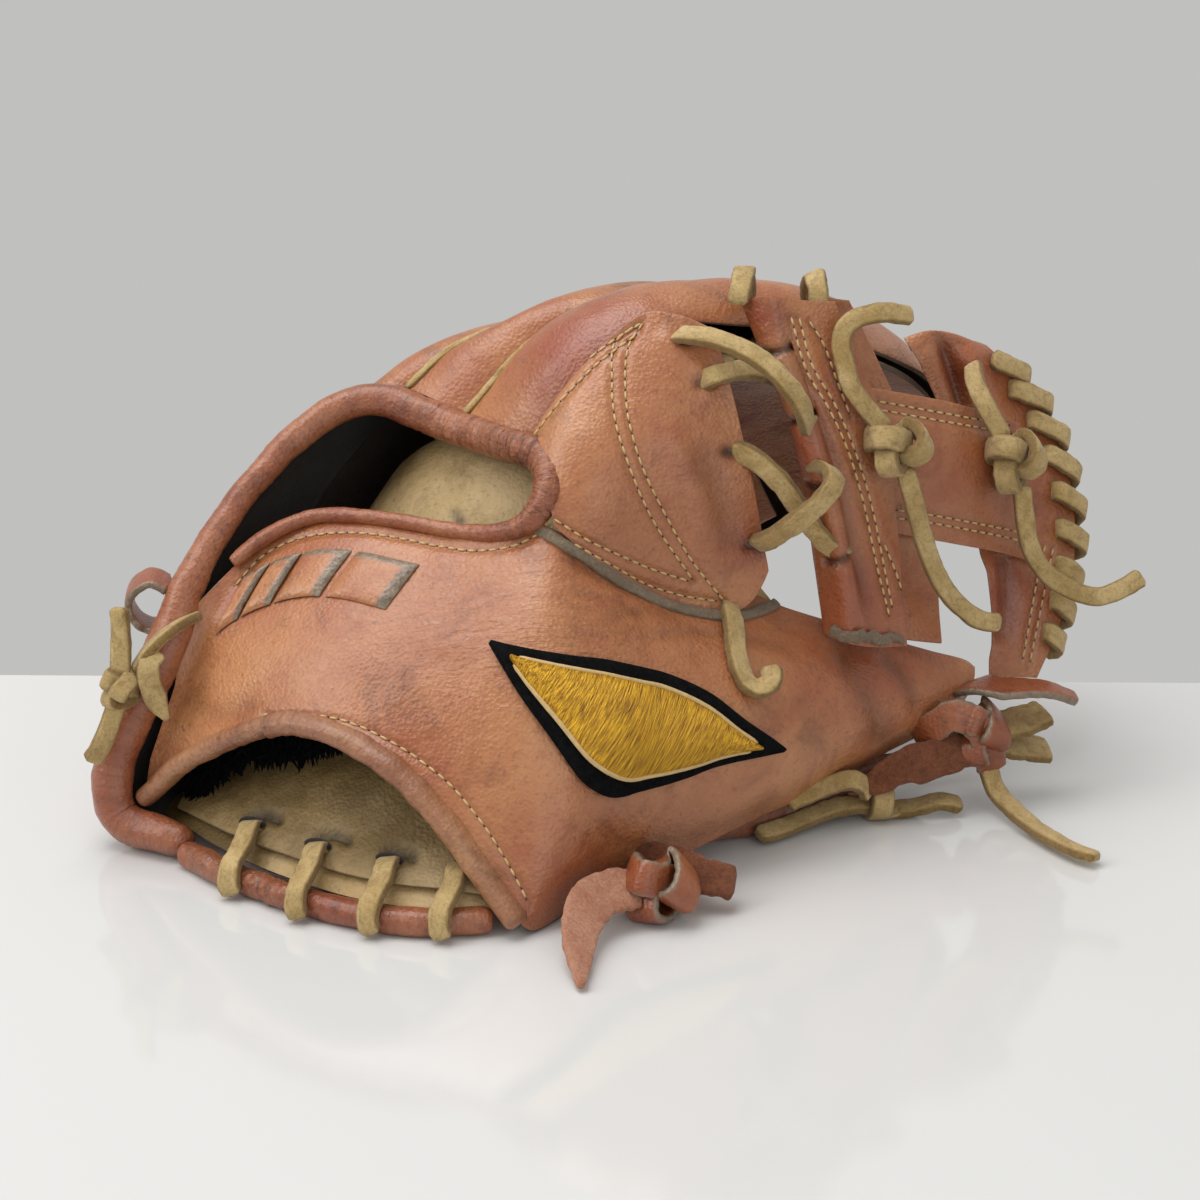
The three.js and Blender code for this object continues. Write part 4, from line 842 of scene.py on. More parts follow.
# Rolled edges. The back's roll grows and shrinks along its route.
BACK_ROUTE = (
    (-134.5, 24.5, 76), (-127.2, 33.8, 83.2), (-114.8, 41.5, 88.6), (-93, 44.6, 89.8), (-80.5, 45.2, 89.7),
    (-70, 46, 89.8), (-61, 46.9, 90.8), (-54, 48.4, 93), (-49.2, 51, 97.5), (-48.1, 55.4, 103.7),
    (-52.7, 60.8, 108.2), (-60.1, 65.2, 109.9), (-69.9, 69.3, 108.9), (-80.8, 73.4, 108.6), (-92, 75.6, 109.2),
    (-103.5, 75.4, 111.8), (-114.4, 74.2, 114.1), (-123.6, 70.1, 113.2), (-130.6, 63.8, 108.9),
    (-135.9, 54.9, 102.6), (-139.2, 44.4, 95.3), (-141.7, 34.8, 87.6), (-143.4, 25.2, 78.7), (-144, 15.5, 69.4),
    (-144, 8.3, 59.2), (-145.6, 1.1, 48.6), (-148.4, -4.7, 37.9), (-151.6, -9.4, 26.7), (-152, -12.6, 16.7),
    (-149.6, -13.5, 9.6), (-144.5, -13, 6.5), (-138, -12.3, 6.1), (-132, -12, 5.6), (-126, -11.5, 4.8),
)
BACK_GROW = (
    0.42, 0.42, 0.42, 0.42, 0.42, 0.45, 0.5, 0.62, 0.75, 0.8, 0.85, 0.9, 0.95, 1, 1, 1, 0.95, 0.9, 0.9, 0.85, 0.8,
    0.8, 0.85, 0.98, 1.12, 1.18, 1.16, 1.15, 1.15, 1.15, 1.1, 1.05, 1, 0.8,
)
WRIST_ROUTE = ((-145, -7.8, 13), (-126.4, -6.2, 30), (-94, -6, 46), (-67, -6, 43), (-46, -6, 30), (-29, -6, 12),
               (-21, -6, 3.6))
HEEL_ROUTE = ((-126, -14, 3.6), (-105, -20, 3.6), (-77, -23, 3.6), (-50, -20, 3.6), (-36, -12, 3.6), (-29, -7, 3.6))
ROLLS = {
    "back_binding": (BACK_ROUTE, 10, 10, BACK_GROW, RED, "red_binding"),
    "wrist_binding": (WRIST_ROUTE, 8, 6, None, MAUVE, "mauve_binding"),
    "heel_piping": (HEEL_ROUTE, 7.6, 7.2, None, RED, "red_binding"),
}
# Where along a roll its rings are strongest, how far they reach, and how high they stand there and elsewhere.
RINGED = (0.34, 0.09)
RINGS = {"most": 0.62, "least": 0.12, "along": 240}


def ringed_roll(at, out, station):
    rings = np.array([noise.noise(Vector((s * RINGS["along"], 0, 0))) for s in station])
    most = np.exp(-((station - RINGED[0]) / RINGED[1]) ** 2)
    return out * (rings * (RINGS["least"] + RINGS["most"] * most) + ripple(at, 7, 0.45))[:, None]


def rolls():
    for node, (route, wide, high, grow, finish, slot) in ROLLS.items():
        roll = sweep(f"{node}_roll", route, wide, high, [finish], grow=grow, around=28, step=0.7, square=2.3,
                     rough=0.03, shaped=ringed_roll, ringed=RINGED)
        stands_for(node, slot)


# The crevice wall's run along the rolled edge, and how far it goes in from it. It is coloured near black as painted
# shade.
CREVICE = {"from": 12, "to": 32, "away": 36, "right": 24, "down": 5}


def crevice():
    """A leather wall inside the rolled edge, at the little finger's side, coloured near black as painted shade of the
    crevice.
    """
    line = np.array(BACK_ROUTE[CREVICE["from"]:CREVICE["to"]], float)
    shade = np.array([CREVICE["away"] * AWAY + CREVICE["right"] * RIGHT - CREVICE["down"] * UP])
    rows = [(low, high, 1) for low, high in zip(line, line + shade)]
    panel("crevice_wall", arch(rows), (16, 90), 1.2, [DARKEST_SHADE, DARKEST_SHADE])


# Laces of rawhide: the way that the broad side faces at the start, and the route.
RAWHIDE_SIZE = (6, 3.2)
LACE_SQUARE = 4.4
LACES = {
    "crotch_lace_1": ((0.3, -0.8, 0.5), ((-32, 100, 138), (-27, 93, 141), (-16, 93, 141), (-5, 95, 137),
        (3, 96, 131), (7, 99, 124), (6, 105, 117), (4, 113, 115))),
    "crotch_lace_2": ((0.3, -0.9, 0.3), ((-27, 103, 124), (-23, 95, 127), (-16, 93, 131), (-12, 101, 131),
        (-9, 113, 127), (-8, 122, 124))),
    "crotch_lace_3": ((0.3, -0.8, 0.4), ((-16.5, 100.2, 105.3), (-12.8, 95.4, 108.6), (-8.8, 94.3, 109.2),
        (-3.7, 95.4, 106.8), (1.7, 97.4, 101.5), (6.1, 99.4, 95), (9.9, 101.6, 88.5), (13.2, 104, 83.6),
        (15.4, 108.8, 80.2), (14.8, 114.8, 78))),
    "crotch_lace_4": ((0.3, -0.9, -0.1), ((-9.3, 102, 79.4), (-3.6, 94.9, 83.4), (1.1, 91.9, 86), (6.7, 91, 90.1),
        (13, 92.4, 95.7), (16.7, 94.5, 100.1), (17.9, 97.5, 103.2), (16.3, 100.6, 105.3), (12, 103.9, 105.5),
        (6.8, 107.8, 102.7))),
    "thumb_stay_lace": ((0.6, -0.15, 0.8), ((-9, 88.5, 66.2), (-6.4, 84.4, 65.4), (-3.2, 80.4, 62.5),
        (-0.7, 76.5, 59.3), (2.2, 73.3, 55.5), (5.2, 71.6, 51.5), (9, 72.6, 49.5), (11.2, 75.7, 51.3),
        (9.8, 77.6, 54.8))),
    "web_top_lace_1": ((0.3, -0.9, 0.2), ((-17, 106, 148), (-17, 108, 153), (-20, 116, 155), (-24, 124, 151),
        (-26, 129, 144))),
    "web_top_lace_2": ((0.3, -0.9, 0.2), ((-2, 128, 144), (-4, 130, 150), (-8, 136, 151), (-12, 142, 146),
        (-14, 147, 139))),
    "thumb_rawhide": ((0.2, -0.3, 0.9), ((8, 76, 3.6), (11, 83, 3.2), (15, 92, 4), (20, 101, 5), (26, 108, 4.5),
        (32, 113, 2.6), (38, 117, 3), (44, 121, 4.6), (49, 125, 3))),
}
# The heel's laces: where they are along the heel, and their stops beside, inwards of and above it.
HEEL_LACES = (-103, -79, -57, -39)
HEEL_LACE_STOPS = ((-3, 14, 12), (-2, 9, 15), (0, 3, 12.5), (1, -4, 9), (2, -6.5, 4.5), (3, -5.5, 2))
HEEL_HOLE = {"at": (-3, 11.5, 14.8), "half": (4.2, 2.6, 1.5)}
STRAP_TIE = ((-138.4, 12.6, 63), (-139, 4, 62.5), (-141.5, -4.8, 58.5), (-144.3, -9, 52.6))


def rawhide(node, flat, route):
    lace = sweep(f"{node}_rawhide", route, *RAWHIDE_SIZE, [RAWHIDE], flat=flat, around=20, square=LACE_SQUARE)
    stands_for(node, "rawhide")


def laces():
    for node, (flat, route) in LACES.items():
        rawhide(node, flat, route)
    heel = np.array(HEEL_ROUTE, float)
    holes = bmesh.new()
    for i, x in enumerate(HEEL_LACES):
        seat = np.array((x, np.interp(x, heel[:, 0], heel[:, 1]), 0))
        rawhide(f"heel_lace_{i + 1}", (0, -0.5, 0.9), seat + HEEL_LACE_STOPS)
        # A dark flattened ball in each lace's hole: painted shade of the hole.
        at = Matrix.Translation(metres(seat + HEEL_HOLE["at"])) @ Matrix.Diagonal((*HEEL_HOLE["half"], 1))
        bmesh.ops.create_uvsphere(holes, u_segments=20, v_segments=12, radius=MM, matrix=at)
    finished("heel_lace_holes", holes, [DARKEST_SHADE])
    rawhide("strap_tie", (-0.3, -0.8, 0.5), STRAP_TIE)


# The lace of the web's outer edge: its turns along the edge, and how far inside it the holes are.
EDGE_TURNS = {"count": 9, "first": 0.24, "last": 0.95, "hole": 0.79}
# One turn of it: its share, at the hole or past the edge, how far past, its side, and how it faces.
EDGE_STOPS = (
    (0, True, 0, 0, (-1, 0)), (0, True, 0, 1, (0, 1)), (0.3, False, 1.2, 1, (0.5, 1)),
    (0.45, False, 2.6, 0, (1, 0)), (0.6, False, 1.2, -1, (0.5, -1)), (1, True, 0, -1, (0, -1)),
)
EDGE_LACE = {"wide": 6, "thick": 2.6, "clear": 1.2}


def edge_lace():
    """The lace that goes in front, over the outer edge, behind and through a hole, nine times."""
    skin = skin_through(OUTER_POST)
    hole = np.array([EDGE_TURNS["hole"]])
    pitch = (EDGE_TURNS["last"] - EDGE_TURNS["first"]) / EDGE_TURNS["count"]
    route, faces = [], []
    for turn in range(EDGE_TURNS["count"]):
        for share, at_hole, past, side, (outward_face, up_face) in EDGE_STOPS:
            v = np.array([EDGE_TURNS["first"] + (turn + share) * pitch])
            u = hole if at_hole else np.ones(1)
            up = normals(skin, u, v, 0.012)[0]
            outward = unit(skin(np.ones(1), v)[0] - skin(hole, v)[0])
            lift = side * (LEATHER / 2 + EDGE_LACE["thick"] / 2 + EDGE_LACE["clear"]) - LEATHER / 2
            route.append(skin(u, v)[0] + up * lift + outward * past)
            faces.append(outward * outward_face + up * up_face)
    lace = sweep("web_edge_lace_rawhide", route[1:-1], EDGE_LACE["wide"], EDGE_LACE["thick"], [RAWHIDE],
                 faces=faces[1:-1], around=20, square=LACE_SQUARE, step=1)
    stands_for("web_edge_lace", "rawhide")


# The loose rawhide ends: whether each is long enough to be a cord, the way that it faces, and its route.
TAIL_WIDE = 5.2
TAILS = {
    "web_tail_up_1": (True, (0.5, -0.8, 0.3), ((23, 120, 114), (15, 116, 125), (12, 116, 132), (10, 117, 139),
        (12, 119, 144), (18, 125, 146), (24, 133, 144))),
    "web_tail_down_1": (True, (0.5, -0.8, 0.3), ((29, 121, 103), (32, 123, 91), (34, 126, 80), (37, 129, 70),
        (41, 133, 62), (46, 138, 56), (51, 143, 54))),
    "web_tail_up_2": (False, (0.5, -0.8, 0.3), ((42, 161, 104), (36, 161, 113), (31, 165, 118), (28, 170, 122))),
    "web_tail_down_2": (True, (0.5, -0.8, 0.3), ((48, 162, 90), (52, 160, 74), (56, 163, 65), (62, 168, 59),
        (69, 173, 56), (75, 178, 58), (79, 183, 61))),
    "floor_tail": (True, (0.2, -0.4, 0.9), ((53, 132.5, 16), (57, 131, 7.5), (64, 127, 4.5), (73, 121, 3.2),
        (83, 115, 3), (90, 112, 3), (96, 111, 3))),
    "strap_tie_end_1": (False, (0.5, -0.8, 0.2), ((-146.5, -12.5, 52), (-147.5, -10, 63.5), (-148.5, -9, 70.5))),
    "strap_tie_end_2": (False, (0.5, -0.8, 0.2), ((-146.8, -14, 44.5), (-149.5, -18, 33.5), (-152.5, -20, 27.5))),
}


def tails():
    """The loose rawhide ends. For those long enough to be cords, the real length is computed and not kept."""
    for node, (is_cord, flat, route) in TAILS.items():
        piece = sweep(f"{node}_end", route, TAIL_WIDE * 1.08, TAIL_WIDE * 0.6, [RAWHIDE], flat=flat,
                      around=20, step=0.9, square=4, rough=0.07, twist=0.5)
        stands_for(node, "rawhide")
        if is_cord:
            path = metres(frames(route, 40, (0, 0, 1))[0])
            float(way_gone(path)[-1])


def leather_slot(finish):
    """The slot of a tie or a knot."""
    return "rawhide" if finish is RAWHIDE else "tan_leather"


# Ties of leather: the finish, the way that each faces, how narrow its end is, and its route.
TIE_SIZE = (12, 2.6)
TIES = {
    "near_tie_tail": (TIE_SUEDE, (0.3, -0.5, 0.8), 0.12, ((1, 18, 9.5), (-2.5, 13, 10), (-5, 7, 10), (-4, -2, 8),
        (0, -11, 5), (5, -19, 2.8), (9, -25, 2))),
    "near_tie_stub": (DARK_SUEDE, (0.3, -0.5, 0.8), 0.8, ((-10.5, 31.5, 8.4), (-5, 33, 9.5), (3, 34, 10),
        (11, 34, 9), (16, 35, 9), (20, 38, 7))),
    "thumb_tip_tail": (TIE_SKIN, (0.2, -0.3, 0.95), 0.5, ((40, 144, 31), (47, 140, 35), (54, 141, 35),
        (60, 145, 35), (66, 149, 34), (72, 153, 31))),
    "thumb_tip_strap": (DARK_SUEDE, (0.4, -0.7, 0.5), 0.15, ((48, 131, 20), (45, 125, 19), (40, 118, 17.5),
        (35, 112, 16.5), (30, 107, 13), (23.2, 102, 10.2))),
    "thumb_tip_stub_1": (RAWHIDE, (0.2, -0.3, 0.95), 0.8, ((52, 137, 23.5), (59, 147, 24), (63, 153, 25))),
    "thumb_tip_stub_2": (RAWHIDE, (0.2, -0.3, 0.95), 0.8, ((52, 138.6, 18.8), (60, 147, 15.5), (65, 152, 13.5))),
    "little_tie_loop": (TIE_SKIN, (0.4, 0.2, 0.8), 1, ((-150.6, 16, 69), (-155, 13, 71.4), (-159.6, 10.3, 67.5),
        (-160, 10, 61.5), (-156, 12.4, 57), (-150.4, 15.8, 58))),
}
# Ends that only the look has: the finish, the way that each faces, its size, how narrow its end is, its route.
LOOSE_ENDS = {
    "strap_tie_blade": (RAWHIDE, (0.4, -0.8, 0.3), (6.6, 2.6), 0.35, ((-139.5, -4.3, 57.5), (-139.8, -8, 55.1),
        (-139.2, -8.8, 49.5), (-137.6, -7.8, 43.6), (-135.6, -6.7, 39))),
    "thumb_tip_tongue": (TIE_SKIN, (0.47, -0.81, 0.34), (9, 2.4), 1, ((33.2, 125.4, 21.3), (39.2, 124.2, 25.5),
        (44.8, 125.2, 30.1), (49.9, 128.1, 28.2), (53.6, 130.3, 22), (55.1, 132.3, 12.7))),
    "thumb_rawhide_strand": (RAWHIDE, (0.4, -0.7, 0.6), (5.6, 3), 1, ((12.3, 85.6, 10.7), (15.8, 90, 12.3),
        (20.4, 96.1, 14.1), (24.5, 100.7, 14.8), (27.1, 104, 12.3), (28.3, 105.2, 8.6))),
    "thumb_rawhide_turn": (RAWHIDE, (0.35, -0.6, 0.7), (6.2, 3.2), 1, ((26.2, 109.3, 10.1), (25, 111.1, 8.5),
        (24.8, 112, 6), (25.6, 111.7, 3.5), (27.4, 110.4, 1.9), (29.5, 108.8, 1.9), (31.3, 107.5, 3.5),
        (32.2, 107.2, 6), (31.9, 108.1, 8.5), (30.7, 109.9, 10.1), (29.2, 112.1, 10.1), (28, 114, 8.5),
        (27.7, 114.8, 6), (28.6, 114.5, 3.5), (30.3, 113.2, 1.9), (32.5, 111.6, 1.9), (34.3, 110.3, 3.5))),
}
# The thumb's leather that turns under, where the rawhide lies against it.
UNDERSIDE = ((-6.5, 62, 5.4), (-1.4, 76.6, 5.4), (5.6, 91, 5.5), (13.1, 105.1, 6), (20.4, 116.8, 7.8),
             (28.3, 127.2, 10.4), (35.1, 133.4, 12.7))
UNDERSIDE_SIZE = (10.5, 9)


def ties():
    for node, (finish, flat, tip, route) in TIES.items():
        taper = ((0, 1), (0.45, 1), (0.8, 1 - (1 - tip) * 0.5), (1, tip))
        tie = sweep(f"{node}_leather", route, *TIE_SIZE, [finish], flat=flat, taper=taper, around=28, step=0.8,
                    square=4.5)
        stands_for(node, leather_slot(finish))


def loose_ends():
    # The underside's darker leather is painted shade by the table.
    under = sweep("thumb_underside", UNDERSIDE, *UNDERSIDE_SIZE, [UNDER], flat=(0.47, -0.81, 0.34), around=28,
                  taper=((0, 0.5), (0.2, 1), (0.8, 1), (1, 0.5)))
    for name, (finish, flat, size, tip, route) in LOOSE_ENDS.items():
        faces = None
        if name == "thumb_rawhide_turn":
            around = np.array(route, float)
            core = np.linspace(around[:5].mean(0), around[-5:].mean(0), len(around))
            faces = unit(around - core)
        end = sweep(name, route, *size, [finish], flat=flat, faces=faces, taper=((0, 1), (0.7, 1), (1, tip)),
                    around=24, step=0.8, square=LACE_SQUARE)
        leather_slot(finish)


# The welts between the fingers stop before the fingers' last rows.
WELT = {"wide": 2.8, "thick": 3, "rows": 7}


def welts():
    for i in (1, 2, 3):
        route = [row[i] for row in FINGER_ROWS[:WELT["rows"]]]
        welt = sweep(f"finger_welt{i}_rawhide", route, WELT["wide"], WELT["thick"], [RAWHIDE], flat=(0, -0.5, 0.8),
                     around=12, square=2.6)
        stands_for(f"finger_welt{i}", "rawhide")


# Knots: the finish, the middle, the half sizes, the turn, the lace's width and thickness, and the swell.
KNOTS = {
    "web_knot_1": (RAWHIDE, (26.2, 121.4, 108.9), (10, 5.5, 8.5), 0.6, 7, 3.6, 1.1),
    "web_knot_2": (RAWHIDE, (45, 163, 97), (9, 5.5, 10), 0.6, 7, 3.6, 1.1),
    "strap_tie_knot": (RAWHIDE, (-146.6, -12.8, 48.4), (5, 4.5, 6.5), 0, 5.4, 2.8, 1.1),
    "near_tie_knot": (TIE_SKIN, (5, 23, 9), (9, 6.5, 8.5), 0.4, 10, 2.6, 1.2),
    "thumb_tip_knot": (TIE_SKIN, (50, 134, 23), (6.5, 6, 9), 0.5, 9, 2.6, 1.2),
}


def knots():
    """Overhand knots, drawn tight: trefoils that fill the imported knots' places."""
    t = np.linspace(0, 2 * np.pi, 40)
    trefoil = np.stack([(np.sin(t) + 2 * np.sin(2 * t)) / 3, -np.sin(3 * t), (np.cos(t) - 2 * np.cos(2 * t)) / 3],
                       axis=1)
    for node, (finish, at, size, turn, wide, thick, swell) in KNOTS.items():
        c, s = math.cos(turn), math.sin(turn)
        x, y, z = (trefoil * (np.array(size) * swell - (thick * 0.8, thick * 0.4, thick * 0.8))).T
        route = np.stack([c * x - s * y, s * x + c * y, z], axis=1)
        outward = unit(route / np.array(size) + np.array((s, -c, 0)) * 0.4)
        knot = sweep(f"{node}_turns", route + np.array(at), wide, thick, [finish], faces=outward, step=0.6,
                     around=20, square=3.8)
        stands_for(node, leather_slot(finish))


# The fleece: how far it hangs out under the strap's edge at shares of its run, its run, and its tufts.
FLEECE_HANG = ((0, 13), (0.05, 15), (0.1, 11), (0.15, 15), (0.19, 6), (0.23, 1), (0.3, -3), (0.4, -4))
FLEECE_SPAN = (0.02, 0.36)
FLEECE_WALL = {"thick": 3.5, "behind": 2.4, "from": 0.03, "span": 0.8}
FLEECE_TUFTS = {"count": 700, "long": 4.5, "wide": 0.9, "to": 0.19, "up": 0.22}


def wrist_pad():
    """The navy fleece under the strap, hanging a little below the strap's binding, with its tufts."""
    strap = arch(THUMB_BACK)

    def behind_strap(u, v):
        hang = np.interp(v, *np.array(FLEECE_HANG, float).T)
        inner = FLEECE_WALL["from"] + u * FLEECE_WALL["span"]
        at = strap(inner, v) - normals(strap, inner, v) * (LEATHER + FLEECE_WALL["behind"])
        drop = hang * np.clip(1 - u / 0.25, 0, 1)
        return at - UP * drop[:, None] + AWAY * (drop * 0.35)[:, None]
    piece = panel("wrist_fleece", behind_strap, (60, 120), FLEECE_WALL["thick"], [FLEECE, FLEECE],
                  span=((0, 1), FLEECE_SPAN), waves=1, edge=1.2, slot="navy_fleece")
    count, long = FLEECE_TUFTS["count"], FLEECE_TUFTS["long"]
    rng = np.random.default_rng(5)
    u = rng.random(count) ** 1.6 * FLEECE_TUFTS["up"]
    v = rng.uniform(FLEECE_SPAN[0], FLEECE_TUFTS["to"], count)
    at, out = behind_strap(u, v), -AWAY + rng.normal(0, 0.55, (count, 3)) - UP * 0.9
    bm = bmesh.new()
    for place, way in zip(at, unit(out)):
        turn = Vector(way).to_track_quat("Z", "Y").to_matrix().to_4x4()
        turn.translation = Vector(metres(place + way * long / 2))
        bmesh.ops.create_cone(bm, segments=4, radius1=FLEECE_TUFTS["wide"] * MM, radius2=0.1 * MM,
                              depth=long * MM, matrix=turn)
    finished("wrist_fleece_tufts", bm, [FLEECE])


BADGE = {"u": 0.48, "v": 0.518, "long": 43, "wide": 16.5, "turn": 0.3, "blunt": 1.06, "curve": 1.7}
# Its two layers: how far inside the outline, how high, how domed, and the finish.
BADGE_LAYERS = {
    "badge_border": (0, 2.2, 0.3, FELT, "black_felt"),
    "badge": (4.3, 3.4, 1.3, GOLD, "gold_thread"),
}
BADGE_CORD = {"wide": 1.3, "thick": 0.9, "sides": (0.015, 0.985)}


def badge():
    skin = arch(THUMB_BACK)
    u0, v0, e = np.array([BADGE["u"]]), np.array([BADGE["v"]]), 0.02
    per_u = np.linalg.norm(skin(u0 + e, v0) - skin(u0 - e, v0)) / (2 * e)
    per_v = np.linalg.norm(skin(u0, v0 + e) - skin(u0, v0 - e)) / (2 * e)
    c, s = math.cos(BADGE["turn"]), math.sin(BADGE["turn"])
    for node, (inset, rise, dome, finish, slot) in BADGE_LAYERS.items():
        long, wide = BADGE["long"] - inset * 1.5, BADGE["wide"] - inset

        def lozenge(a, b):
            x = (2 * b - 1) * long
            y = (2 * a - 1) * wide * (BADGE["blunt"] - np.abs(2 * b - 1) ** BADGE["curve"])
            u, v = BADGE["u"] + (y * c - x * s) / per_u, BADGE["v"] + (x * c + y * s) / per_v
            lift = rise + dome * (1 - np.abs(2 * a - 1) ** 2.4) - 0.6 * np.abs(2 * a - 1) ** 12
            return skin(u, v) + normals(skin, u, v) * lift[:, None]
        panel(node, lozenge, (32, 90), rise - 0.4, [finish, finish], waves=0.25, slot=slot)
    along = np.linspace(0.02, 0.98, 40)
    for i, side in enumerate(BADGE_CORD["sides"]):
        edge = lozenge(np.full(40, side), along)
        outline = sweep(f"badge_outline_{i + 1}", edge, BADGE_CORD["wide"], BADGE_CORD["thick"], [THREAD],
                        faces=normals(skin, along, along), around=8)


# Each pad's run along the strap, and how its face, its raw upper edge and its raw right edge lie.
PADS = ((0.072, 0.097), (0.1, 0.128), (0.131, 0.17), (0.174, 0.222))
PAD = {"low": 0.57, "high": 0.83, "lean": 0.016, "puff": 1.5, "lift": 0.5, "thick": 1.6, "raw": 0.2}


def pads():
    skin = arch(THUMB_BACK)
    high = PAD["high"] - PAD["low"]

    def cut_edge(a, b):
        return np.clip((np.maximum(a, b) - (1 - PAD["raw"])) * 16, 0, 1)
    for i, (start, end) in enumerate(PADS):

        def puffed(a, b):
            u, v = PAD["low"] + a * high, start + b * (end - start) + PAD["lean"] * (a - 0.5)
            lift = PAD["puff"] * (1 - (2 * a - 1) ** 6) * (1 - np.abs(2 * b - 1) ** 5) + PAD["lift"]
            return skin(u, v) + normals(skin, u, v) * lift[:, None]
        piece = panel(f"strap_pad_{i + 1}", puffed, (22, 22), PAD["thick"], TAN_WALL, waves=0.2, raw=cut_edge,
                      slot="tan_leather")


# Raw strips: the panel under each, its line in the photograph, its width and thickness, and how torn it is.
# The first shows under the index panel's edge. The others are the torn lower end of the web's inner post.
RAW_STRIPS = {
    "index_panel_strip": ("thumb_back", ((536, 527), (560, 543), (582, 556), (624, 584), (666, 605), (697, 613),
                                         (739, 617), (778, 604)), 3.4, 1.6, 0.12),
    "web_post_rag": ("web_inner_post", ((832, 630), (848, 635), (868, 636), (880, 640)), 3.6, 2.2, 0.8),
    "web_post_rag_low": ("web_inner_post", ((868, 634), (880, 640), (893, 637), (902, 641)), 2.6, 2, 1),
}


def on_leather(node, line):
    """Where a line of the photograph lies on a panel, and the way out of the panel there."""
    points, outs = [], []
    for x, y in curve(line, np.linspace(0, 1, 30 * len(line))):
        hit, out, _, _ = PANELS[node].ray_cast(Vector(metres(EYE)), Vector(photo_ray(x, y)))
        if hit:
            points.append(np.array(hit) / MM + MIDDLE)
            outs.append(np.array(out))
    return np.array(points), np.array(outs)


def raw_strips():
    for name, (node, line, wide, thick, rough) in RAW_STRIPS.items():
        points, outs = on_leather(node, line)
        keep = np.linspace(0, len(points) - 1, 24).astype(int)
        strip = sweep(name, points[keep] + outs[keep] * 0.5, wide, thick, [TAN_EDGE], faces=outs[keep], around=16,
                      step=0.6, rough=rough)


STITCH = {"long": 2.5, "gap": 0.7, "thick": 0.75, "proud": 0.12, "hole": 0.3}


def stitches():
    """Rows of thread, laid where the photograph's lines meet the leather."""
    long, gap = STITCH["long"], STITCH["gap"]
    half = np.array([long / 2, STITCH["thick"] / 2, STITCH["thick"] / 2]) * MM
    for node, rows in STITCHES.items():
        bm = bmesh.new()
        for row in rows:
            points, outs = on_leather(node, row)
            if len(points) < 4:
                continue
            run = way_gone(points)

            def along(values, at):
                return np.array([np.interp(at, run, column) for column in values.T])
            for start in np.arange(0, run[-1] - long, long + gap):
                first, last = along(points, start), along(points, start + long)
                ahead = unit(last - first)
                side = unit(np.cross(along(outs, start), ahead))
                up = np.cross(ahead, side)
                axes = np.stack([ahead * half[0], side * half[1], up * half[2]], axis=1)
                place = Matrix(axes.tolist()).to_4x4()
                place.translation = Vector(metres((first + last) / 2 + up * STITCH["proud"]))
                bmesh.ops.create_uvsphere(bm, u_segments=7, v_segments=5, radius=1, matrix=place)
                # A dark ball past each stitch: painted shade in the needle hole.
                hole = Matrix.Translation(Vector(metres(last + ahead * gap / 2)))
                dark = bmesh.ops.create_icosphere(bm, subdivisions=1, radius=STITCH["hole"] * MM, matrix=hole)
                for face in {face for vertex in dark["verts"] for face in vertex.link_faces}:
                    face.material_index = 1
        bmesh.ops.recalc_face_normals(bm, faces=bm.faces)
        finished(f"{node}_stitches", bm, [THREAD, HOLE])


def camera():
    data = bpy.data.cameras.new("camera")
    data.sensor_fit = "AUTO"
    data.angle = FIELD_OF_VIEW
    data.clip_end = 20
    eye = in_scene("camera", data)
    eye.matrix_world = Matrix(np.stack([RIGHT, OVERHEAD, -FORWARD], axis=1).tolist()).to_4x4()
    eye.location = metres(EYE)
    bpy.context.scene.camera = eye


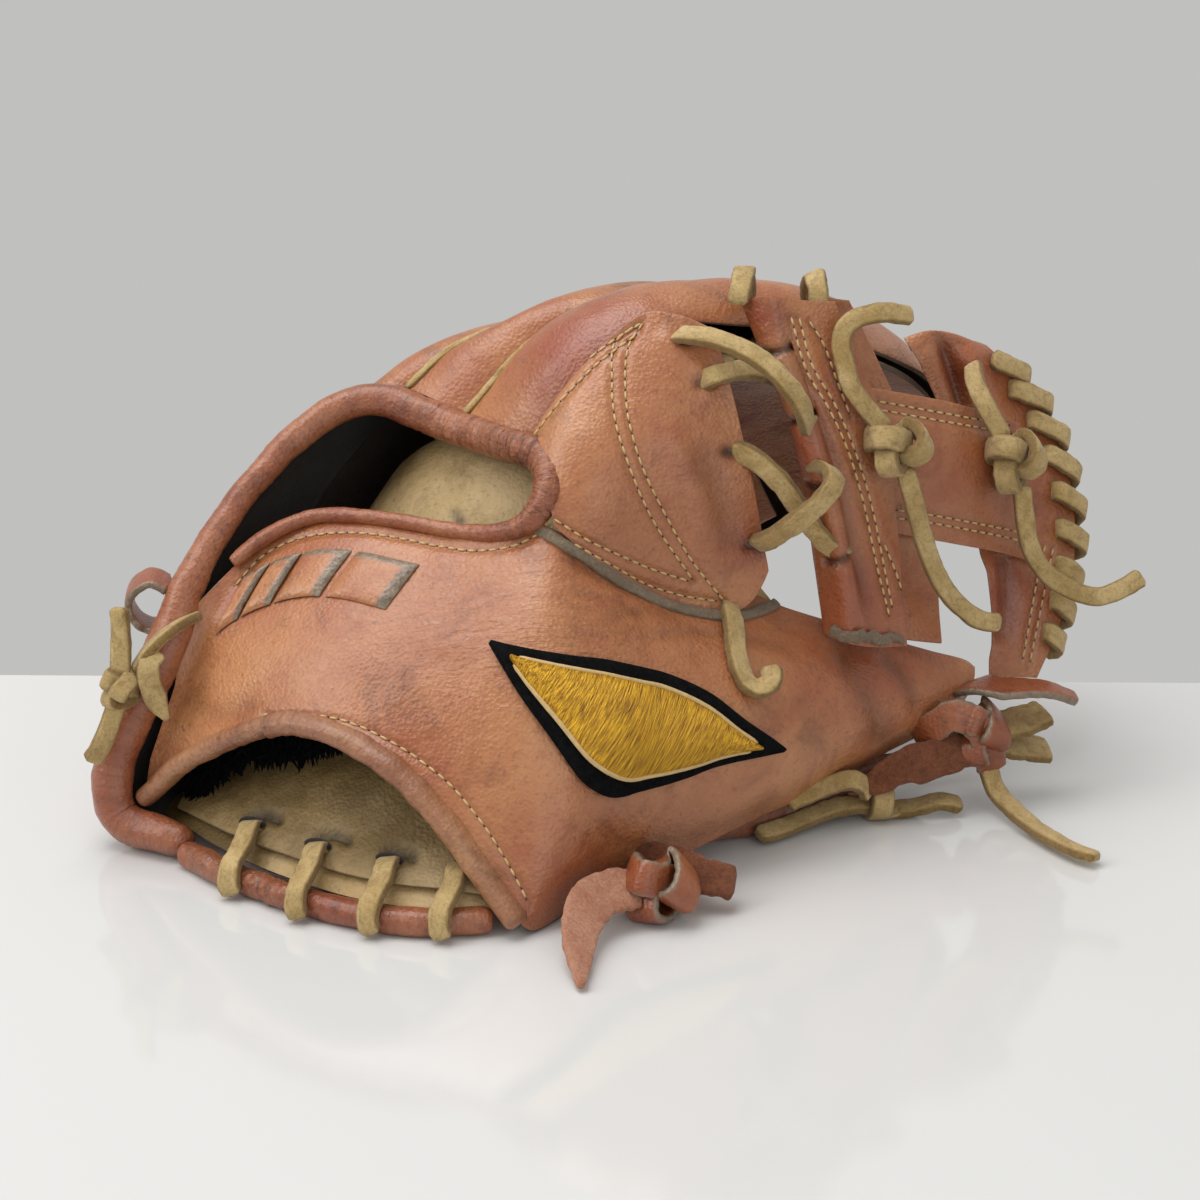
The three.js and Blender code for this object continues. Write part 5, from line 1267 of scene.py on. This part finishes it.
# The surface that it lies on ends at a straight back edge, seen at these pixels. It runs on to both sides and
# towards the camera.
TABLE_EDGE = ((0, 675), (1200, 683))
TABLE_REACH = {"sides": 3000, "front": 4000}
BACKDROP = (1, 0.995, 0.975, 1)


def stage():
    def on_floor(x, y):
        ray = photo_ray(x, y)
        return EYE + ray * (-EYE[2] / ray[2])
    left, right = (on_floor(*pixel) for pixel in TABLE_EDGE)
    run = unit(right - left)
    left, right = left - run * TABLE_REACH["sides"], right + run * TABLE_REACH["sides"]
    toward = np.array([run[1], -run[0], 0]) * TABLE_REACH["front"]
    bm = bmesh.new()
    bmesh.ops.create_grid(bm, x_segments=1, y_segments=1, size=1)
    for vertex, corner in zip(bm.verts, (left, right, left + toward, right + toward)):
        vertex.co = metres(corner)
    table = in_scene("table_top", mesh_of("table_top", bm, [TABLE]))


def lamp(name, place, aim, size, power, colour=(1, 1, 1)):
    data = bpy.data.lights.new(name, "AREA")
    data.shape = "RECTANGLE"
    data.size, data.size_y = size
    data.energy = power
    data.color = colour
    light = in_scene(name, data)
    light.location = place
    light.rotation_euler = (Vector(aim) - Vector(place)).to_track_quat("-Z", "Y").to_euler()


def lights():
    right, away = Vector(RIGHT), Vector(AWAY)
    up = Vector((0, 0, 1))
    middle = Vector((0, 0, 0.08))
    lamp("overhead softbox", up * 1.5 + away * 0.15 - right * 0.35, middle, (1.3, 1.1), 16)
    lamp("left window", -right * 1.5 - away * 0.5 + up * 1.1, middle, (0.7, 1.1), 11, (1, 0.99, 0.97))
    lamp("front fill", -away * 1.8 + right * 0.7 + up * 0.8, middle, (1.2, 1.2), 5)
    world = bpy.data.worlds.new("room")
    world.use_nodes = True
    world.node_tree.nodes["Background"].inputs["Color"].default_value = BACKDROP
    world.node_tree.nodes["Background"].inputs["Strength"].default_value = 0.53
    bpy.context.scene.world = world
    bpy.context.scene.view_settings.view_transform = "Standard"


camera()
tails()
palm()
backs()
web()
rolls()
laces()
edge_lace()
ties()
loose_ends()
welts()
knots()
wrist_pad()
badge()
pads()
raw_strips()
crevice()
stitches()
stage()
lights()
